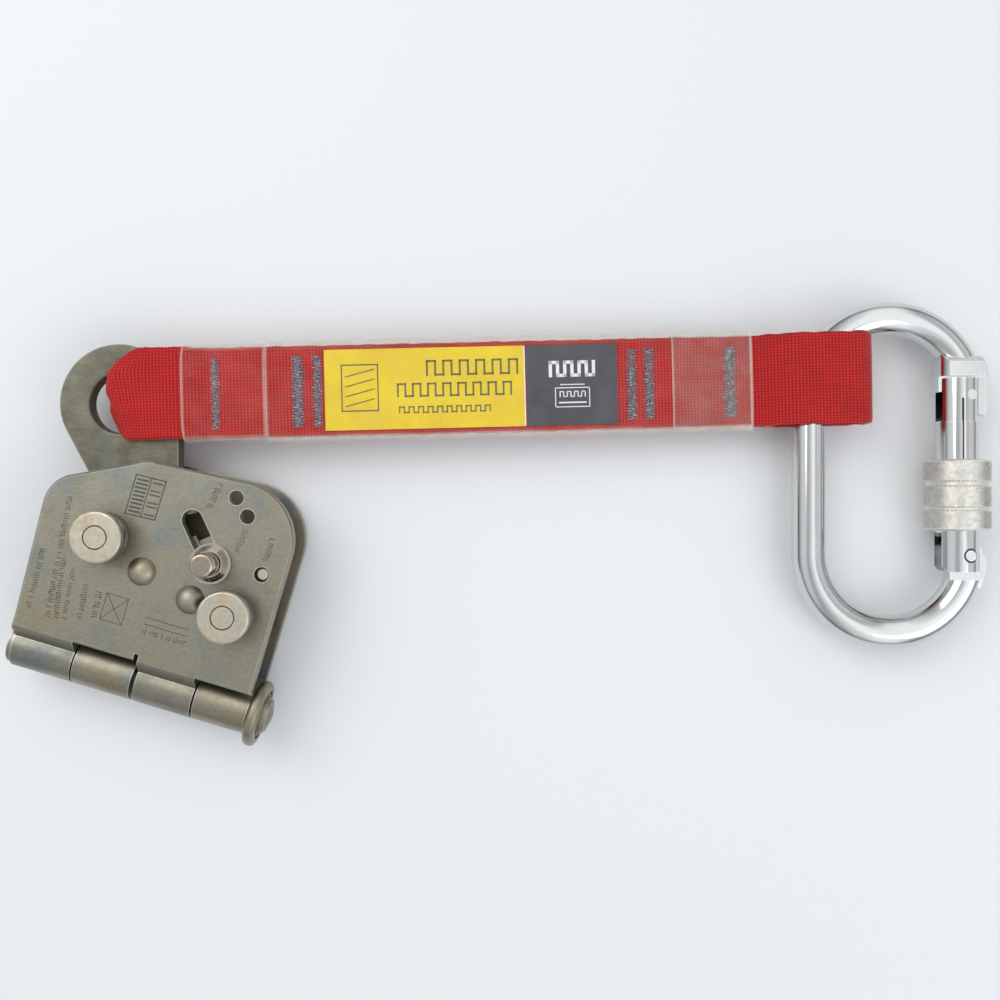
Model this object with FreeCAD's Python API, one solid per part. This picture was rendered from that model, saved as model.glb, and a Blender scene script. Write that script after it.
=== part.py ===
"""Rope grab for a 12 mm vertical rope, with its webbing lanyard and screw-gate carabiner.

The grab opens like a book: two steel plates share a hinge whose barrel lies along the
rope, and a toothed lever between them squeezes the rope against a curved anvil when the
lanyard is pulled. The whole set lies on its back, z = 0 is the surface under it, +X runs
along the lanyard towards the carabiner, and +Z points out of the grab's front plate.
All lengths are in millimetres.
"""
import FreeCAD, Part
import math
import os
from FreeCAD import Placement, Rotation, Vector

UP = Vector(0, 0, 1)
ALONG = Vector(1, 0, 0)

# ---------------------------------------------------------------- where things lie
GRAB_CORNER = Vector(-144.93, -29.86, 0)   # hinge-side left corner of the grab's plates
GRAB_TURN = -16.7                          # degrees from +X to the hinge line
STRAP_TURN = 1.43                          # degrees from +X to the lanyard
BEND_FROM_EYE = Vector(235.1, -3.57, 0)    # carabiner's top bend, seen from the lever's eye
BAR_LEVEL = 9.75                           # height of the carabiner's middle plane

# ---------------------------------------------------------------- grab: plates and hinge
# The grab's own frame: x along the hinge line, y away from it, z out of the front plate.
MID_LEVEL = 13.75            # half way between the plates
PLATE = 3.0                  # plate thickness
HALF_GAP = 7.75              # mid plane to each plate's inner face
BACK_FACE = MID_LEVEL - HALF_GAP - PLATE
BACK_INNER = MID_LEVEL - HALF_GAP
FRONT_INNER = MID_LEVEL + HALF_GAP
FRONT_FACE = FRONT_INNER + PLATE
PLATE_LENGTH = 73.5
EDGE_WEAR = 0.6              # bevel round the plates' outer faces
HINGE_Y = -7.0
BARREL_R = 7.0
PIN_R = 3.5
PIN_BORE_R = 3.55
COVER_KNUCKLES = ((0.0, 18.7), (38.5, 56.3))
CASE_KNUCKLES = ((19.2, 37.2), (56.9, 73.2))
FLANGE_R = 10.0
FLANGE_START = 73.7
FLANGE_THICK = 3.5

# ---------------------------------------------------------------- grab: works
ROPE_Y = 9.3                 # rope's centre line
ROPE_SEAT_R = 6.1            # seat for a 12 mm rope
PIVOT = Vector(19.1, 32.8, 0)        # lever's pivot, and button 1 above it
GUIDE = Vector(60.8, 21.2, 0)        # guide post, and button 2 above it
KNOB = Vector(51.4, 34.2, 0)         # latch knob where it stands
LATCH_TURN = 131.0                   # direction in which the latch closes, degrees
DOWEL = Vector(66.4, 35.2, 0)
SIGHT_HOLES = (Vector(52.8, 54.8, 0), Vector(57.5, 50.4, 0))
RIVETS = (Vector(32.3, 26.0, 0), Vector(48.3, 22.1, 0))
POST_R = 5.5
POST_BORE_R = 3.75
POST_TOP = FRONT_INNER - 0.2
SLOT_R = 3.1
SLOT_REACH = (14.0, 3.0)             # slot's ends beyond the knob, closing and opening way
SLIDER_TOP = 20.35
SLIDER_THICK = 1.4
SLIDER_HALF = 4.5
KEEPER_REACH = 19.4                  # keeper's distance from the standing knob
FORK_REACH = 9.8
RUNNING = 0.08                       # running clearance of round fits
SNUG = 0.02                          # clearance of pieces fixed together

# ---------------------------------------------------------------- lever
LEVER_THICK = 6.0
EYE = Vector(8.7, 71.5, 0)
EYE_R = 17.9
EYE_HOLE_R = 8.9
HEEL_R = 19.0                        # lever's edge, measured from the pivot
BUSH_R = 7.0
CAM_START_R = 11.7                   # cam radius at its short end
CAM_GROWTH = 0.12                    # mm of radius per degree
CAM_ARC = (-55.0, -135.0)
TOOTH = 0.55
TEETH = 16

# ---------------------------------------------------------------- lanyard
# The lanyard's own frame: x along it from the eye's centre, y to its left, z up.
STRAP_Y = 2.5                        # strap's centre line beside the eye's centre
STRAP_WIDE = 27.0
PLY = 2.4                            # thickness of one layer of webbing
BODY_HALF = 2.5                      # half of the doubled strap's thickness
STRAP_FROM = 27.0                    # where the layers have closed up, past the eye
STRAP_TO = 194.0                     # where they part again for the carabiner
NECK_FROM = 19.0                     # where they start to close up beside the lever
LEVER_GAP_HALF = 3.35                # half of the gap that the lever passes through
LEVEL_FROM = 13.0
LEVEL_TO = 10.1
STRAP_END = 230.2
STITCHES = ((28.7, 3.0), (53.8, 4.0), (59.8, 3.0), (155.6, 3.3), (161.0, 3.3), (185.8, 4.5))
STITCH_WIDE = 21.5
LEFT_SLEEVE = (19.9, 44.0)
LONG_SLEEVE = (44.3, 192.5)
RIGHT_SLEEVE = (168.0, 192.3)
YELLOW_LABEL = (62.0, 123.0)
GREY_LABEL = (123.4, 151.2)
LABEL_WIDE = 24.6

# ---------------------------------------------------------------- carabiner
# The carabiner's own frame: origin at the top bend's centre, y towards that bend.
BEND_R = 24.45
BAR_R = 5.1
SPINE = 48.0                         # distance between the two bends' centres
GATE_X = 21.4
GATE_R = 6.4
GATE_TOP = 5.7
GATE_FOOT = -53.5
GATE_PIVOT = Vector(23.0, -48.5, 0)
CATCH = Vector(23.7, 0.6, 0)         # cross pin's place in the nose
NOSE_FOOT = 6.2
SHOULDER = -56.1
SLEEVE_R = 9.75
SLEEVE_SPAN = (-40.9, -19.2)


# ================================================================ shared shapes
def at(x, y, z=0.0):
    """Point given by its three coordinates."""
    return Vector(x, y, z)


def moved(point, distance, degrees):
    """Point at the given distance and direction from another, in the same plane."""
    angle = math.radians(degrees)
    return point + Vector(distance * math.cos(angle), distance * math.sin(angle), 0)


def disc(radius, low, high, centre=Vector()):
    """Upright cylinder between two heights."""
    return Part.makeCylinder(radius, high - low, at(centre.x, centre.y, low), UP)


def rod(radius, start, end, centre=Vector()):
    """Cylinder along x between two stations."""
    return Part.makeCylinder(radius, end - start, at(start, centre.y, centre.z), ALONG)


def rod_y(radius, start, end, x):
    """Cylinder along y between two stations."""
    return Part.makeCylinder(radius, end - start, at(x, start), Vector(0, 1, 0))


def block(low, high):
    """Box between two opposite corners."""
    size = high - low
    return Part.makeBox(size.x, size.y, size.z, low)


def prism(points, low, high):
    """Upright prism over a plan outline of (x, y) points."""
    corners = [at(x, y, low) for x, y in points]
    return Part.Face(Part.makePolygon(corners + corners[:1])).extrude(UP * (high - low))


def side_prism(points, centre_y, width):
    """Prism across y whose side outline is a list of (x, z) points."""
    corners = [at(x, centre_y - width / 2, z) for x, z in points]
    return Part.Face(Part.makePolygon(corners + corners[:1])).extrude(at(0, width))


def edge_prism(points, start, end):
    """Prism along x whose end outline is a list of (y, z) points."""
    corners = [at(start, y, z) for y, z in points]
    return Part.Face(Part.makePolygon(corners + corners[:1])).extrude(at(end - start, 0))


def slot(a, b, radius, low, high):
    """Upright slot-shaped prism from one centre to the other."""
    across = (b - a).normalize().cross(UP) * radius
    sides = [a - across, b - across, b + across, a + across]
    middle = prism([(p.x, p.y) for p in sides], low, high)
    return middle.fuse([disc(radius, low, high, a), disc(radius, low, high, b)]).removeSplitter()


def dome(radius, height, base, centre, down=False):
    """Rivet head with a spherical dome, standing on (or hanging under) the height base."""
    way = -1 if down else 1
    sphere_r = (radius ** 2 + height ** 2) / (2 * height)
    half = math.asin(radius / sphere_r) / 2
    middle = at(sphere_r * math.sin(half), 0, way * (height - sphere_r + sphere_r * math.cos(half)))
    tip = at(0, 0, way * height)
    bulge = Part.Arc(at(radius, 0, 0), middle, tip)
    foot = Part.LineSegment(at(0, 0, 0), at(radius, 0, 0))
    axis = Part.LineSegment(tip, at(0, 0, 0))
    wire = Part.Wire([foot.toShape(), bulge.toShape(), axis.toShape()])
    head = Part.Face(wire).revolve(Vector(), UP, 360)
    head.translate(at(centre.x, centre.y, base))
    return head


def coil(radius, wire_r, pitch, turns, start_z):
    """Helical spring with its axis along z."""
    helix = Part.makeHelix(pitch, pitch * turns, radius)
    circle = Part.makeCircle(wire_r, at(radius, 0, 0), Vector(0, 1, pitch / (2 * math.pi * radius)))
    spring = Part.Wire(helix.Edges).makePipeShell([Part.Wire(circle)], True, True)
    spring.translate(at(0, 0, start_z))
    return spring


def bevelled(solid, size, level):
    """The solid with every edge that lies wholly at one height bevelled."""
    edges = [e for e in solid.Edges if abs(e.BoundBox.ZMin - level) < 1e-4 and e.BoundBox.ZLength < 1e-4]
    return solid.makeChamfer(size, edges)


def rounded(solid, size, chosen):
    """The solid with the edges that a test picks rounded."""
    return solid.makeFillet(size, [e for e in solid.Edges if chosen(e.BoundBox)])


# ================================================================ grab: case
def plate_outline(low, high):
    """Plan of both plates: straight hinge side, sloping shoulder, big far corner."""
    left = at(-1.8, 37.9, low)
    shoulder = at(4.8, 47.8, low)
    ridge = at(24.2, 57.8, low)
    top = at(55.4, 60.2, low)
    side = at(73.3, 42.3, low)
    foot = at(PLATE_LENGTH, 0, low)
    edges = [
        Part.LineSegment(at(0, 0, low), left),
        Part.Arc(left, at(0.2, 44.2, low), shoulder),
        Part.LineSegment(shoulder, at(21.5, 56.4, low)),
        Part.Arc(at(21.5, 56.4, low), ridge, at(27.4, 58.1, low)),
        Part.LineSegment(at(27.4, 58.1, low), top),
        Part.Arc(top, at(68.5, 54.6, low), side),
        Part.LineSegment(side, foot),
        Part.LineSegment(foot, at(0, 0, low)),
    ]
    return Part.Face(Part.Wire([e.toShape() for e in edges])).extrude(UP * (high - low))


def knuckles(spans, sign):
    """Rolled knuckles with the bent strip that joins each to its plate (sign +1 is the front)."""
    strip = [(10.0, 7.75), (10.0, 10.75), (7.0, 10.75), (6.0, 10.2), (3.2, 6.22), (5.6, 4.2), (8.3, 7.75)]
    section = [(HINGE_Y + y, MID_LEVEL + sign * z) for y, z in strip]
    centre = at(0, HINGE_Y, MID_LEVEL)
    pieces = []
    for start, end in spans:
        pieces.append(rod(BARREL_R, start, end, centre))
        pieces.append(edge_prism(section, start, end))
    return pieces


def hinge_bore():
    return rod(PIN_BORE_R, -5.0, PLATE_LENGTH + 5.0, at(0, HINGE_Y, MID_LEVEL))


def notch(low, high):
    """Relief in a plate's hinge edge between the two middle knuckles."""
    return block(at(CASE_KNUCKLES[0][1], -1.0, low - 1), at(COVER_KNUCKLES[1][0], 2.2, high + 1))


def keeper_centre():
    return moved(KNOB, KEEPER_REACH, LATCH_TURN)


STOP_PIN = at(35.06, 53.24)
ANCHOR_PIN = at(9.5, 32.0)
ANVIL_RIVETS = (at(18.0, 10.6), at(55.0, 10.6))
TAILS = ((PIVOT, 4.0), (GUIDE, 4.0), (keeper_centre(), 2.4), (DOWEL, 1.85),
         (STOP_PIN, 2.0), (ANCHOR_PIN, 1.5), (ANVIL_RIVETS[0], 1.8), (ANVIL_RIVETS[1], 1.8))


def back_plate():
    plate = bevelled(plate_outline(BACK_FACE, BACK_INNER), EDGE_WEAR, BACK_FACE)
    plate = plate.fuse(knuckles(CASE_KNUCKLES, -1)).removeSplitter()
    holes = [disc(radius + SNUG, 0, 10, centre) for centre, radius in TAILS]
    return plate.cut(holes + [hinge_bore()])


def post(centre, radius, top, tail_r, head_r, head_height):
    """Shouldered post: its tail goes through the back plate and is riveted over in a dome."""
    body = disc(radius, BACK_INNER, top, centre)
    tail = disc(tail_r, BACK_FACE, BACK_INNER, centre)
    head = dome(head_r, head_height, BACK_FACE, centre, down=True)
    return body.fuse([tail, head]).removeSplitter()


def hollow_post(centre):
    """Post that a button's pin drops into, with a bore open at the top."""
    solid = post(centre, POST_R, POST_TOP, 4.0, 6.5, BACK_FACE)
    solid = solid.cut(disc(POST_BORE_R, 12.0, POST_TOP + 1, centre))
    return bevelled(solid, 0.4, POST_TOP)


def latch_keeper():
    centre = keeper_centre()
    low = SLIDER_TOP - SLIDER_THICK - 0.25
    high = SLIDER_TOP + 0.25
    waist = disc(3.4, low, high, centre).cut(disc(1.8, low, high, centre))
    return post(centre, 3.2, FRONT_INNER - 0.2, 2.4, 3.3, BACK_FACE).cut(waist)


def locating_dowel():
    dowel = post(DOWEL, 1.85, 22.6, 1.85, 3.2, 1.8)
    return bevelled(dowel, 0.3, 22.6)


def lever_stop_pin():
    return post(STOP_PIN, 2.0, 17.0, 2.0, 2.3, 1.6)


def spring_anchor_pin():
    return post(ANCHOR_PIN, 1.5, 10.2, 1.5, 2.8, 1.6)


def hinge_pin():
    """Long pin with a stepped domed head beyond the flange and a peened left end."""
    centre = at(0, HINGE_Y, MID_LEVEL)
    start = FLANGE_START + FLANGE_THICK + SNUG
    shaft = rod(PIN_R, -1.6, start, centre)
    rim = rod(5.85, start, start + 0.9, centre)
    step = rod(4.9, start + 0.9, start + 1.6, centre)
    tip = dome(3.9, 1.0, 0, Vector())
    tip.Placement = Placement(at(start + 1.6, HINGE_Y, MID_LEVEL), Rotation(Vector(0, 1, 0), 90))
    peen = dome(4.6, 1.2, 0, Vector())
    peen.Placement = Placement(at(-1.6, HINGE_Y, MID_LEVEL), Rotation(Vector(0, 1, 0), -90))
    return shaft.fuse([rim, step, tip, peen]).removeSplitter()


def hinge_flange():
    """Big rounded disc with a dished outer face, under the pin's head."""
    centre = at(0, HINGE_Y, MID_LEVEL)
    end = FLANGE_START + FLANGE_THICK
    flange = rod(FLANGE_R, FLANGE_START, end, centre)
    flange = rounded(flange, 1.5, lambda b: b.YLength > FLANGE_R)
    dish = rod(7.6, end - 0.6, end + 1, centre).cut(rod(6.3, end - 1, end + 2, centre))
    return flange.cut([dish, rod(PIN_R + SNUG, FLANGE_START - 1, end + 1, centre)])


def hinge_end_washer():
    centre = at(0, HINGE_Y, MID_LEVEL)
    return rod(6.3, -1.5, -0.3, centre).cut(rod(PIN_R + SNUG, -3, 1, centre))


def lever_spring():
    """Torsion spring of square wire round the axle, between the back plate and the lever."""
    radius = 6.7
    half_wide = 0.5
    half_high = 0.42
    pitch = 1.05
    turns = 3
    helix = Part.makeHelix(pitch, pitch * turns, radius)
    corners = [at(radius + x * half_wide, 0, z * half_high) for x, z in ((-1, -1), (1, -1), (1, 1), (-1, 1))]
    section = Part.makePolygon(corners + corners[:1])
    spring = Part.Wire(helix.Edges).makePipeShell([section], True, True)
    spring.translate(PIVOT + UP * 6.8)
    return spring


def rope_anvil():
    """Curved seat that the rope is squeezed against, with a foot riveted to the back plate."""
    half = math.radians(55)
    lip = ROPE_SEAT_R * math.sin(half)
    reach = ROPE_Y - ROPE_SEAT_R * math.cos(half)
    foot = BACK_INNER + 1.4
    start = 3.0
    corners = [(7.6, foot), (15.2, foot), (15.2, BACK_INNER), (1.8, BACK_INNER), (0.4, 8.6),
               (0.4, 18.2), (3.4, 19.4), (reach, MID_LEVEL + lip)]
    outline = [at(start, y, z) for y, z in corners]
    seat = Part.Arc(outline[-1], at(start, ROPE_Y - ROPE_SEAT_R, MID_LEVEL), at(start, reach, MID_LEVEL - lip))
    ramp = Part.LineSegment(at(start, reach, MID_LEVEL - lip), outline[0])
    edges = list(Part.makePolygon(outline).Edges) + [seat.toShape(), ramp.toShape()]
    anvil = Part.Face(Part.Wire(edges)).extrude(at(PLATE_LENGTH - 2 * start, 0))
    holes = [disc(1.8 + SNUG, 5, 8, centre) for centre in ANVIL_RIVETS]
    sinks = [Part.makeCone(1.8, 3.1, 1.3, at(c.x, c.y, foot - 1.28), UP) for c in ANVIL_RIVETS]
    return anvil.cut(holes + sinks)


def anvil_rivets():
    """Countersunk inside, domed outside the back plate."""
    foot = BACK_INNER + 1.4
    solids = []
    for centre in ANVIL_RIVETS:
        shank = disc(1.8, BACK_FACE, foot - 0.05, centre)
        sunk = Part.makeCone(1.8, 3.0, 1.2, at(centre.x, centre.y, foot - 1.25), UP)
        head = dome(3.2, 1.6, BACK_FACE, centre, down=True)
        solids.append(shank.fuse([sunk, head]).removeSplitter())
    return Part.makeCompound(solids)


# ================================================================ grab: cover
def front_plate():
    plate = bevelled(plate_outline(FRONT_INNER, FRONT_FACE), EDGE_WEAR, FRONT_FACE)
    plate = plate.fuse(knuckles(COVER_KNUCKLES, 1)).removeSplitter()
    low = FRONT_INNER - 1
    high = FRONT_FACE + 1
    slot_ends = (moved(KNOB, SLOT_REACH[0], LATCH_TURN), moved(KNOB, -SLOT_REACH[1], LATCH_TURN))
    cuts = [disc(2.6, low, high, PIVOT), disc(2.6, low, high, GUIDE), disc(2.25, low, high, DOWEL)]
    cuts += [disc(2.2, low, high, centre) for centre in SIGHT_HOLES]
    cuts += [disc(2.0 + SNUG, low, high, centre) for centre in RIVETS]
    cuts += [slot(slot_ends[0], slot_ends[1], SLOT_R, low, high), hinge_bore()]
    cuts += [notch(FRONT_INNER, FRONT_FACE)]
    return plate.cut(cuts)


def guide_rivets():
    """The two domed rivets that hold the latch guide under the front plate."""
    solids = []
    for centre in RIVETS:
        shank = disc(2.0, FRONT_INNER - 1.4, FRONT_FACE, centre)
        head = dome(4.3, 2.7, FRONT_FACE, centre)
        tail = disc(3.0, FRONT_INNER - 2.2, FRONT_INNER - 1.4 - SNUG, centre)
        solids.append(shank.fuse([head, tail.fuse(disc(2.0, 19.2, 20.2, centre))]).removeSplitter())
    return Part.makeCompound(solids)


def in_latch_frame(shape):
    """Place a shape drawn along x (closing way) and y on the latch's own line."""
    shape.Placement = Placement(KNOB, Rotation(UP, LATCH_TURN)).multiply(shape.Placement)
    return shape


def latch_guide():
    """Channel for the slider: a floor, two side walls and a lug under the rivets."""
    floor_top = SLIDER_TOP - SLIDER_THICK - 0.1
    floor_low = floor_top - 1.3
    wall_in = SLIDER_HALF + 0.2
    wall_out = wall_in + 1.4
    floor = block(at(-6.5, -wall_out, floor_low), at(8.0, wall_out, floor_top))
    walls = [block(at(-6.5, wall_in, floor_low), at(8.0, wall_out, FRONT_INNER)),
             block(at(-6.5, -wall_out, floor_low), at(8.0, -wall_in, FRONT_INNER))]
    channel = in_latch_frame(floor.fuse(walls))
    lug_plan = [(28.4, 22.6), (48.6, 17.8), (52.4, 21.0), (52.6, 25.4), (48.2, 31.0), (42.0, 37.0), (29.4, 30.2)]
    lug = prism(lug_plan, FRONT_INNER - 1.4, FRONT_INNER)
    way = in_latch_frame(block(at(-20, -wall_in, floor_top), at(30, wall_in, FRONT_INNER + 1)))
    guide = channel.fuse(lug.cut(way)).removeSplitter()
    holes = [disc(2.0 + SNUG, 15, 25, centre) for centre in RIVETS]
    return guide.cut(holes)


def button_collar(centre):
    collar = disc(7.3, FRONT_FACE, FRONT_FACE + 2.6, centre).cut(disc(2.6, 20, 30, centre))
    groove = disc(9, FRONT_FACE + 0.9, FRONT_FACE + 1.3, centre).cut(disc(6.9, 20, 30, centre))
    return bevelled(collar.cut(groove), 0.4, FRONT_FACE + 2.6)


SPRING_LOW = FRONT_FACE + 2.65
CAP_LOW = 30.8
CAP_TOP = 33.0
CAP_R = 7.7


def button_spring(centre):
    """Wave spring: flat rings that touch at the crests of their waves."""
    rings = 4
    ring_thick = 0.45
    pitch = (CAP_LOW - 0.05 - SPRING_LOW - ring_thick) / (rings - 1)
    solids = []
    for level in range(rings):
        low = SPRING_LOW + level * pitch
        solids.append(disc(6.8, low, low + ring_thick, centre).cut(disc(5.2, 20, 40, centre)))
    crests = []
    for level in range(rings - 1):
        for third in range(3):
            spot = moved(centre, 6.0, 120 * third + 60 * (level % 2))
            low = SPRING_LOW + level * pitch
            crests.append(disc(0.5, low, low + pitch + ring_thick / 2, spot))
    return solids[0].fuse(solids[1:] + crests).removeSplitter()


def button_cap(centre):
    cap = disc(CAP_R, CAP_LOW, CAP_TOP, centre)
    cap = rounded(cap, 0.8, lambda b: b.ZMin > CAP_TOP - 0.1)
    return cap.cut(disc(3.4 + SNUG, 20, 40, centre))


def button_pin(centre):
    """Pin fed from inside: nose in the post's bore, waist in the plate, head in the cap."""
    shoulder = FRONT_INNER - 0.05
    nose = disc(3.0, shoulder - 1.5, shoulder, centre)
    tip = Part.makeCone(2.2, 3.0, 1.1, at(centre.x, centre.y, shoulder - 2.6), UP)
    waist = disc(2.5, shoulder, CAP_LOW, centre)
    head = disc(3.4, CAP_LOW, CAP_TOP + 0.1, centre)
    pin = nose.fuse([tip, waist, head]).removeSplitter()
    return bevelled(pin, 0.3, CAP_TOP + 0.1)


# ================================================================ grab: latch
STUD_R = 2.85


def latch_slider():
    """Plate that shows through the slot; its forked end goes round the keeper's waist."""
    low = SLIDER_TOP - SLIDER_THICK
    plate = block(at(-4.6, -SLIDER_HALF, low), at(FORK_REACH, SLIDER_HALF, SLIDER_TOP))
    fork = slot(at(FORK_REACH - 2.4, 0), at(FORK_REACH + 5, 0), 2.2, low - 1, SLIDER_TOP + 1)
    return in_latch_frame(plate.cut([fork, disc(STUD_R + SNUG, low - 1, SLIDER_TOP + 1)]))


def latch_spacer():
    ring = disc(3.8, SLIDER_TOP + SNUG, FRONT_INNER - 0.08, KNOB)
    return ring.cut(disc(STUD_R + SNUG, 15, 25, KNOB))


def latch_knob():
    """Flanged collar with a conical shoulder, resting on the plate beside the slot."""
    low = FRONT_FACE + 0.08
    flange = disc(6.0, low, low + 1.9, KNOB)
    cone = Part.makeCone(5.4, 3.9, 1.8, at(KNOB.x, KNOB.y, low + 1.9), UP)
    knob = flange.fuse(cone).removeSplitter()
    return knob.cut(disc(STUD_R + SNUG, 20, 40, KNOB))


def latch_stud():
    top = 36.0
    stud = disc(STUD_R, SLIDER_TOP - SLIDER_THICK, top, KNOB)
    collar = disc(3.4, 29.3, top, KNOB)
    stud = stud.fuse(collar).removeSplitter()
    return rounded(stud, 0.7, lambda b: b.ZMin > top - 0.1)


# ================================================================ lever
def cam_points():
    """Toothed spiral: the radius grows away from the lever's heel."""
    steps = 2 * TEETH
    points = []
    for i in range(steps + 1):
        degrees = CAM_ARC[0] + (CAM_ARC[1] - CAM_ARC[0]) * i / steps
        radius = CAM_START_R + CAM_GROWTH * (CAM_ARC[0] - degrees)
        points.append(moved(PIVOT, radius - TOOTH * (i % 2), degrees))
    return points


def lever():
    """Eye plate and toothed cam in one flat piece."""
    low = MID_LEVEL - LEVER_THICK / 2
    edge_way = -GRAB_TURN                 # direction of +X in the grab's frame
    eye_right = moved(EYE, EYE_R, edge_way)
    eye_top = moved(EYE, EYE_R, edge_way + 90)
    eye_left = at(-4.1, 58.95)
    heel_top = moved(PIVOT, HEEL_R, edge_way)
    heel_low = moved(PIVOT, HEEL_R, -20)
    heel_mid = moved(PIVOT, HEEL_R, -2)
    waist = at(6.9, 47.9)
    cam = cam_points()
    edges = [
        Part.LineSegment(eye_right, heel_top),
        Part.Arc(heel_top, heel_mid, heel_low),
        Part.LineSegment(heel_low, cam[0]),
    ]
    edges += [Part.LineSegment(a, b) for a, b in zip(cam, cam[1:])]
    edges += [
        Part.Arc(cam[-1], at(3.6, 30.0), waist),
        Part.LineSegment(waist, eye_left),
        Part.Arc(eye_left, moved(EYE, EYE_R, 160), eye_top),
        Part.Arc(eye_top, moved(EYE, EYE_R, 60), eye_right),
    ]
    plan = Part.Face(Part.Wire([e.toShape() for e in edges]))
    solid = plan.extrude(UP * LEVER_THICK)
    solid.translate(at(0, 0, low))
    eye_hole = disc(EYE_HOLE_R, low - 1, low + LEVER_THICK + 1, EYE)
    peg_hole = disc(1.2 + SNUG, low - 1, low + 3.0, PEG)
    solid = solid.cut([eye_hole, disc(BUSH_R + SNUG, low - 1, low + LEVER_THICK + 1, PIVOT), peg_hole])

    def eye_rim(box):
        """Picks the two rims of the eye's hole."""
        return abs(box.XLength - 2 * EYE_HOLE_R) < 0.2 and box.ZLength < 0.01
    return rounded(solid, 0.9, eye_rim)


PEG = at(26.9, 36.4)


def lever_bush():
    low = MID_LEVEL - LEVER_THICK / 2
    return disc(BUSH_R, low, low + LEVER_THICK, PIVOT).cut(disc(POST_R + RUNNING, 5, 20, PIVOT))


def spring_peg():
    """Peg under the lever that the spring's moving leg pushes."""
    return disc(1.2, 8.2, MID_LEVEL - LEVER_THICK / 2 + 2.9, PEG)


# ================================================================ lanyard
def strap_level(x):
    """Height of the doubled strap's middle at a station along it."""
    share = (x - STRAP_FROM) / (STRAP_TO - STRAP_FROM)
    return LEVEL_FROM + share * (LEVEL_TO - LEVEL_FROM)


def layer(start, end, low, high, width):
    """Slab that follows the strap, between two heights above its middle."""
    points = [(start, strap_level(start) + low), (end, strap_level(end) + low),
              (end, strap_level(end) + high), (start, strap_level(start) + high)]
    return side_prism(points, STRAP_Y, width)


def webbing():
    """Doubled strap: it wraps the lever's eye at one end and the carabiner's bar at the other."""
    lever_low = MID_LEVEL - LEVER_GAP_HALF
    lever_high = MID_LEVEL + LEVER_GAP_HALF
    loop_half = BAR_R + 0.45
    loop_top = BAR_LEVEL + loop_half + PLY
    loop_low = BAR_LEVEL - loop_half - PLY
    loop_start = BEND_FROM_EYE.x - BEND_R - BAR_R - 1.0
    level_in = strap_level(STRAP_FROM)
    level_out = strap_level(STRAP_TO)
    outline = [
        (-3.5, lever_low - PLY), (-3.5, lever_high + PLY), (NECK_FROM, lever_high + PLY),
        (STRAP_FROM, level_in + BODY_HALF), (STRAP_TO, level_out + BODY_HALF), (loop_start, loop_top),
        (STRAP_END - 4.5, loop_top), (STRAP_END, BAR_LEVEL + 4.0), (STRAP_END, BAR_LEVEL - 4.0),
        (STRAP_END - 4.5, loop_low), (loop_start, loop_low), (STRAP_TO, level_out - BODY_HALF),
        (STRAP_FROM, level_in - BODY_HALF), (NECK_FROM, lever_low - PLY),
    ]
    strap = side_prism(outline, STRAP_Y, STRAP_WIDE)
    ring_way = disc(EYE_R + 0.8, lever_low, lever_high)
    neck_way = block(at(-4, -12, lever_low), at(21.5, -2, lever_high))
    eye_gap = ring_way.fuse(neck_way).cut(disc(EYE_HOLE_R - 0.7, lever_low, lever_high).common(
        block(at(-3.5, -20, 0), at(20, 20, 30))))
    low = BAR_LEVEL - loop_half
    high = BAR_LEVEL + loop_half
    bar_way = disc(BEND_R + loop_half + 0.1, low, high, BEND_FROM_EYE)
    bar_way = bar_way.cut(disc(BEND_R - loop_half - 0.1, low, high, BEND_FROM_EYE))
    spine_way = block(at(-BEND_R - loop_half - 1.2, -9, low), at(-BEND_R + loop_half + 0.6, 0.5, high))
    spine_way.translate(BEND_FROM_EYE)
    return strap.cut([eye_gap, bar_way.fuse(spine_way)])


def stitching():
    """Bar tacks through both layers; only what stands proud of the webbing."""
    solids = []
    for x, width in STITCHES:
        for low, high in ((BODY_HALF, BODY_HALF + 0.4), (-BODY_HALF - 0.4, -BODY_HALF)):
            solids.append(layer(x - width / 2, x + width / 2, low, high, STITCH_WIDE))
    return Part.makeCompound(solids)


def clear_sleeve(span, half_in, half_out, width_in, width_out):
    """Flat clear tube round the strap."""
    outer = layer(span[0], span[1], -half_out, half_out, width_out)
    inner = layer(span[0] - 1, span[1] + 1, -half_in, half_in, width_in)
    return outer.cut(inner)


def flared_sleeve():
    """Left sleeve: it opens out at its left end, where the layers part round the lever's eye."""
    start, end = LEFT_SLEEVE
    close = STRAP_FROM + 0.2
    neck_half = LEVER_GAP_HALF + PLY - BODY_HALF
    drop = MID_LEVEL - LEVEL_FROM
    neck = STRAP_FROM - NECK_FROM
    middle = strap_level(close)

    def outline(off, begin, finish):
        """Side outline at a distance outside the strap."""
        high_flare = (close - begin) * (neck_half + drop) / neck
        low_flare = (close - begin) * (neck_half - drop) / neck
        top = [(begin, middle + BODY_HALF + off + high_flare), (close, middle + BODY_HALF + off),
               (finish, strap_level(finish) + BODY_HALF + off)]
        low = [(finish, strap_level(finish) - BODY_HALF - off), (close, middle - BODY_HALF - off),
               (begin, middle - BODY_HALF - off - low_flare)]
        return top + low
    outer = side_prism(outline(1.1, start, end), STRAP_Y, 29.8)
    return outer.cut(side_prism(outline(0.6, start - 1, end + 1), STRAP_Y, 28.6))


def label(span):
    return layer(span[0], span[1], BODY_HALF, BODY_HALF + 0.3, LABEL_WIDE)


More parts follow.
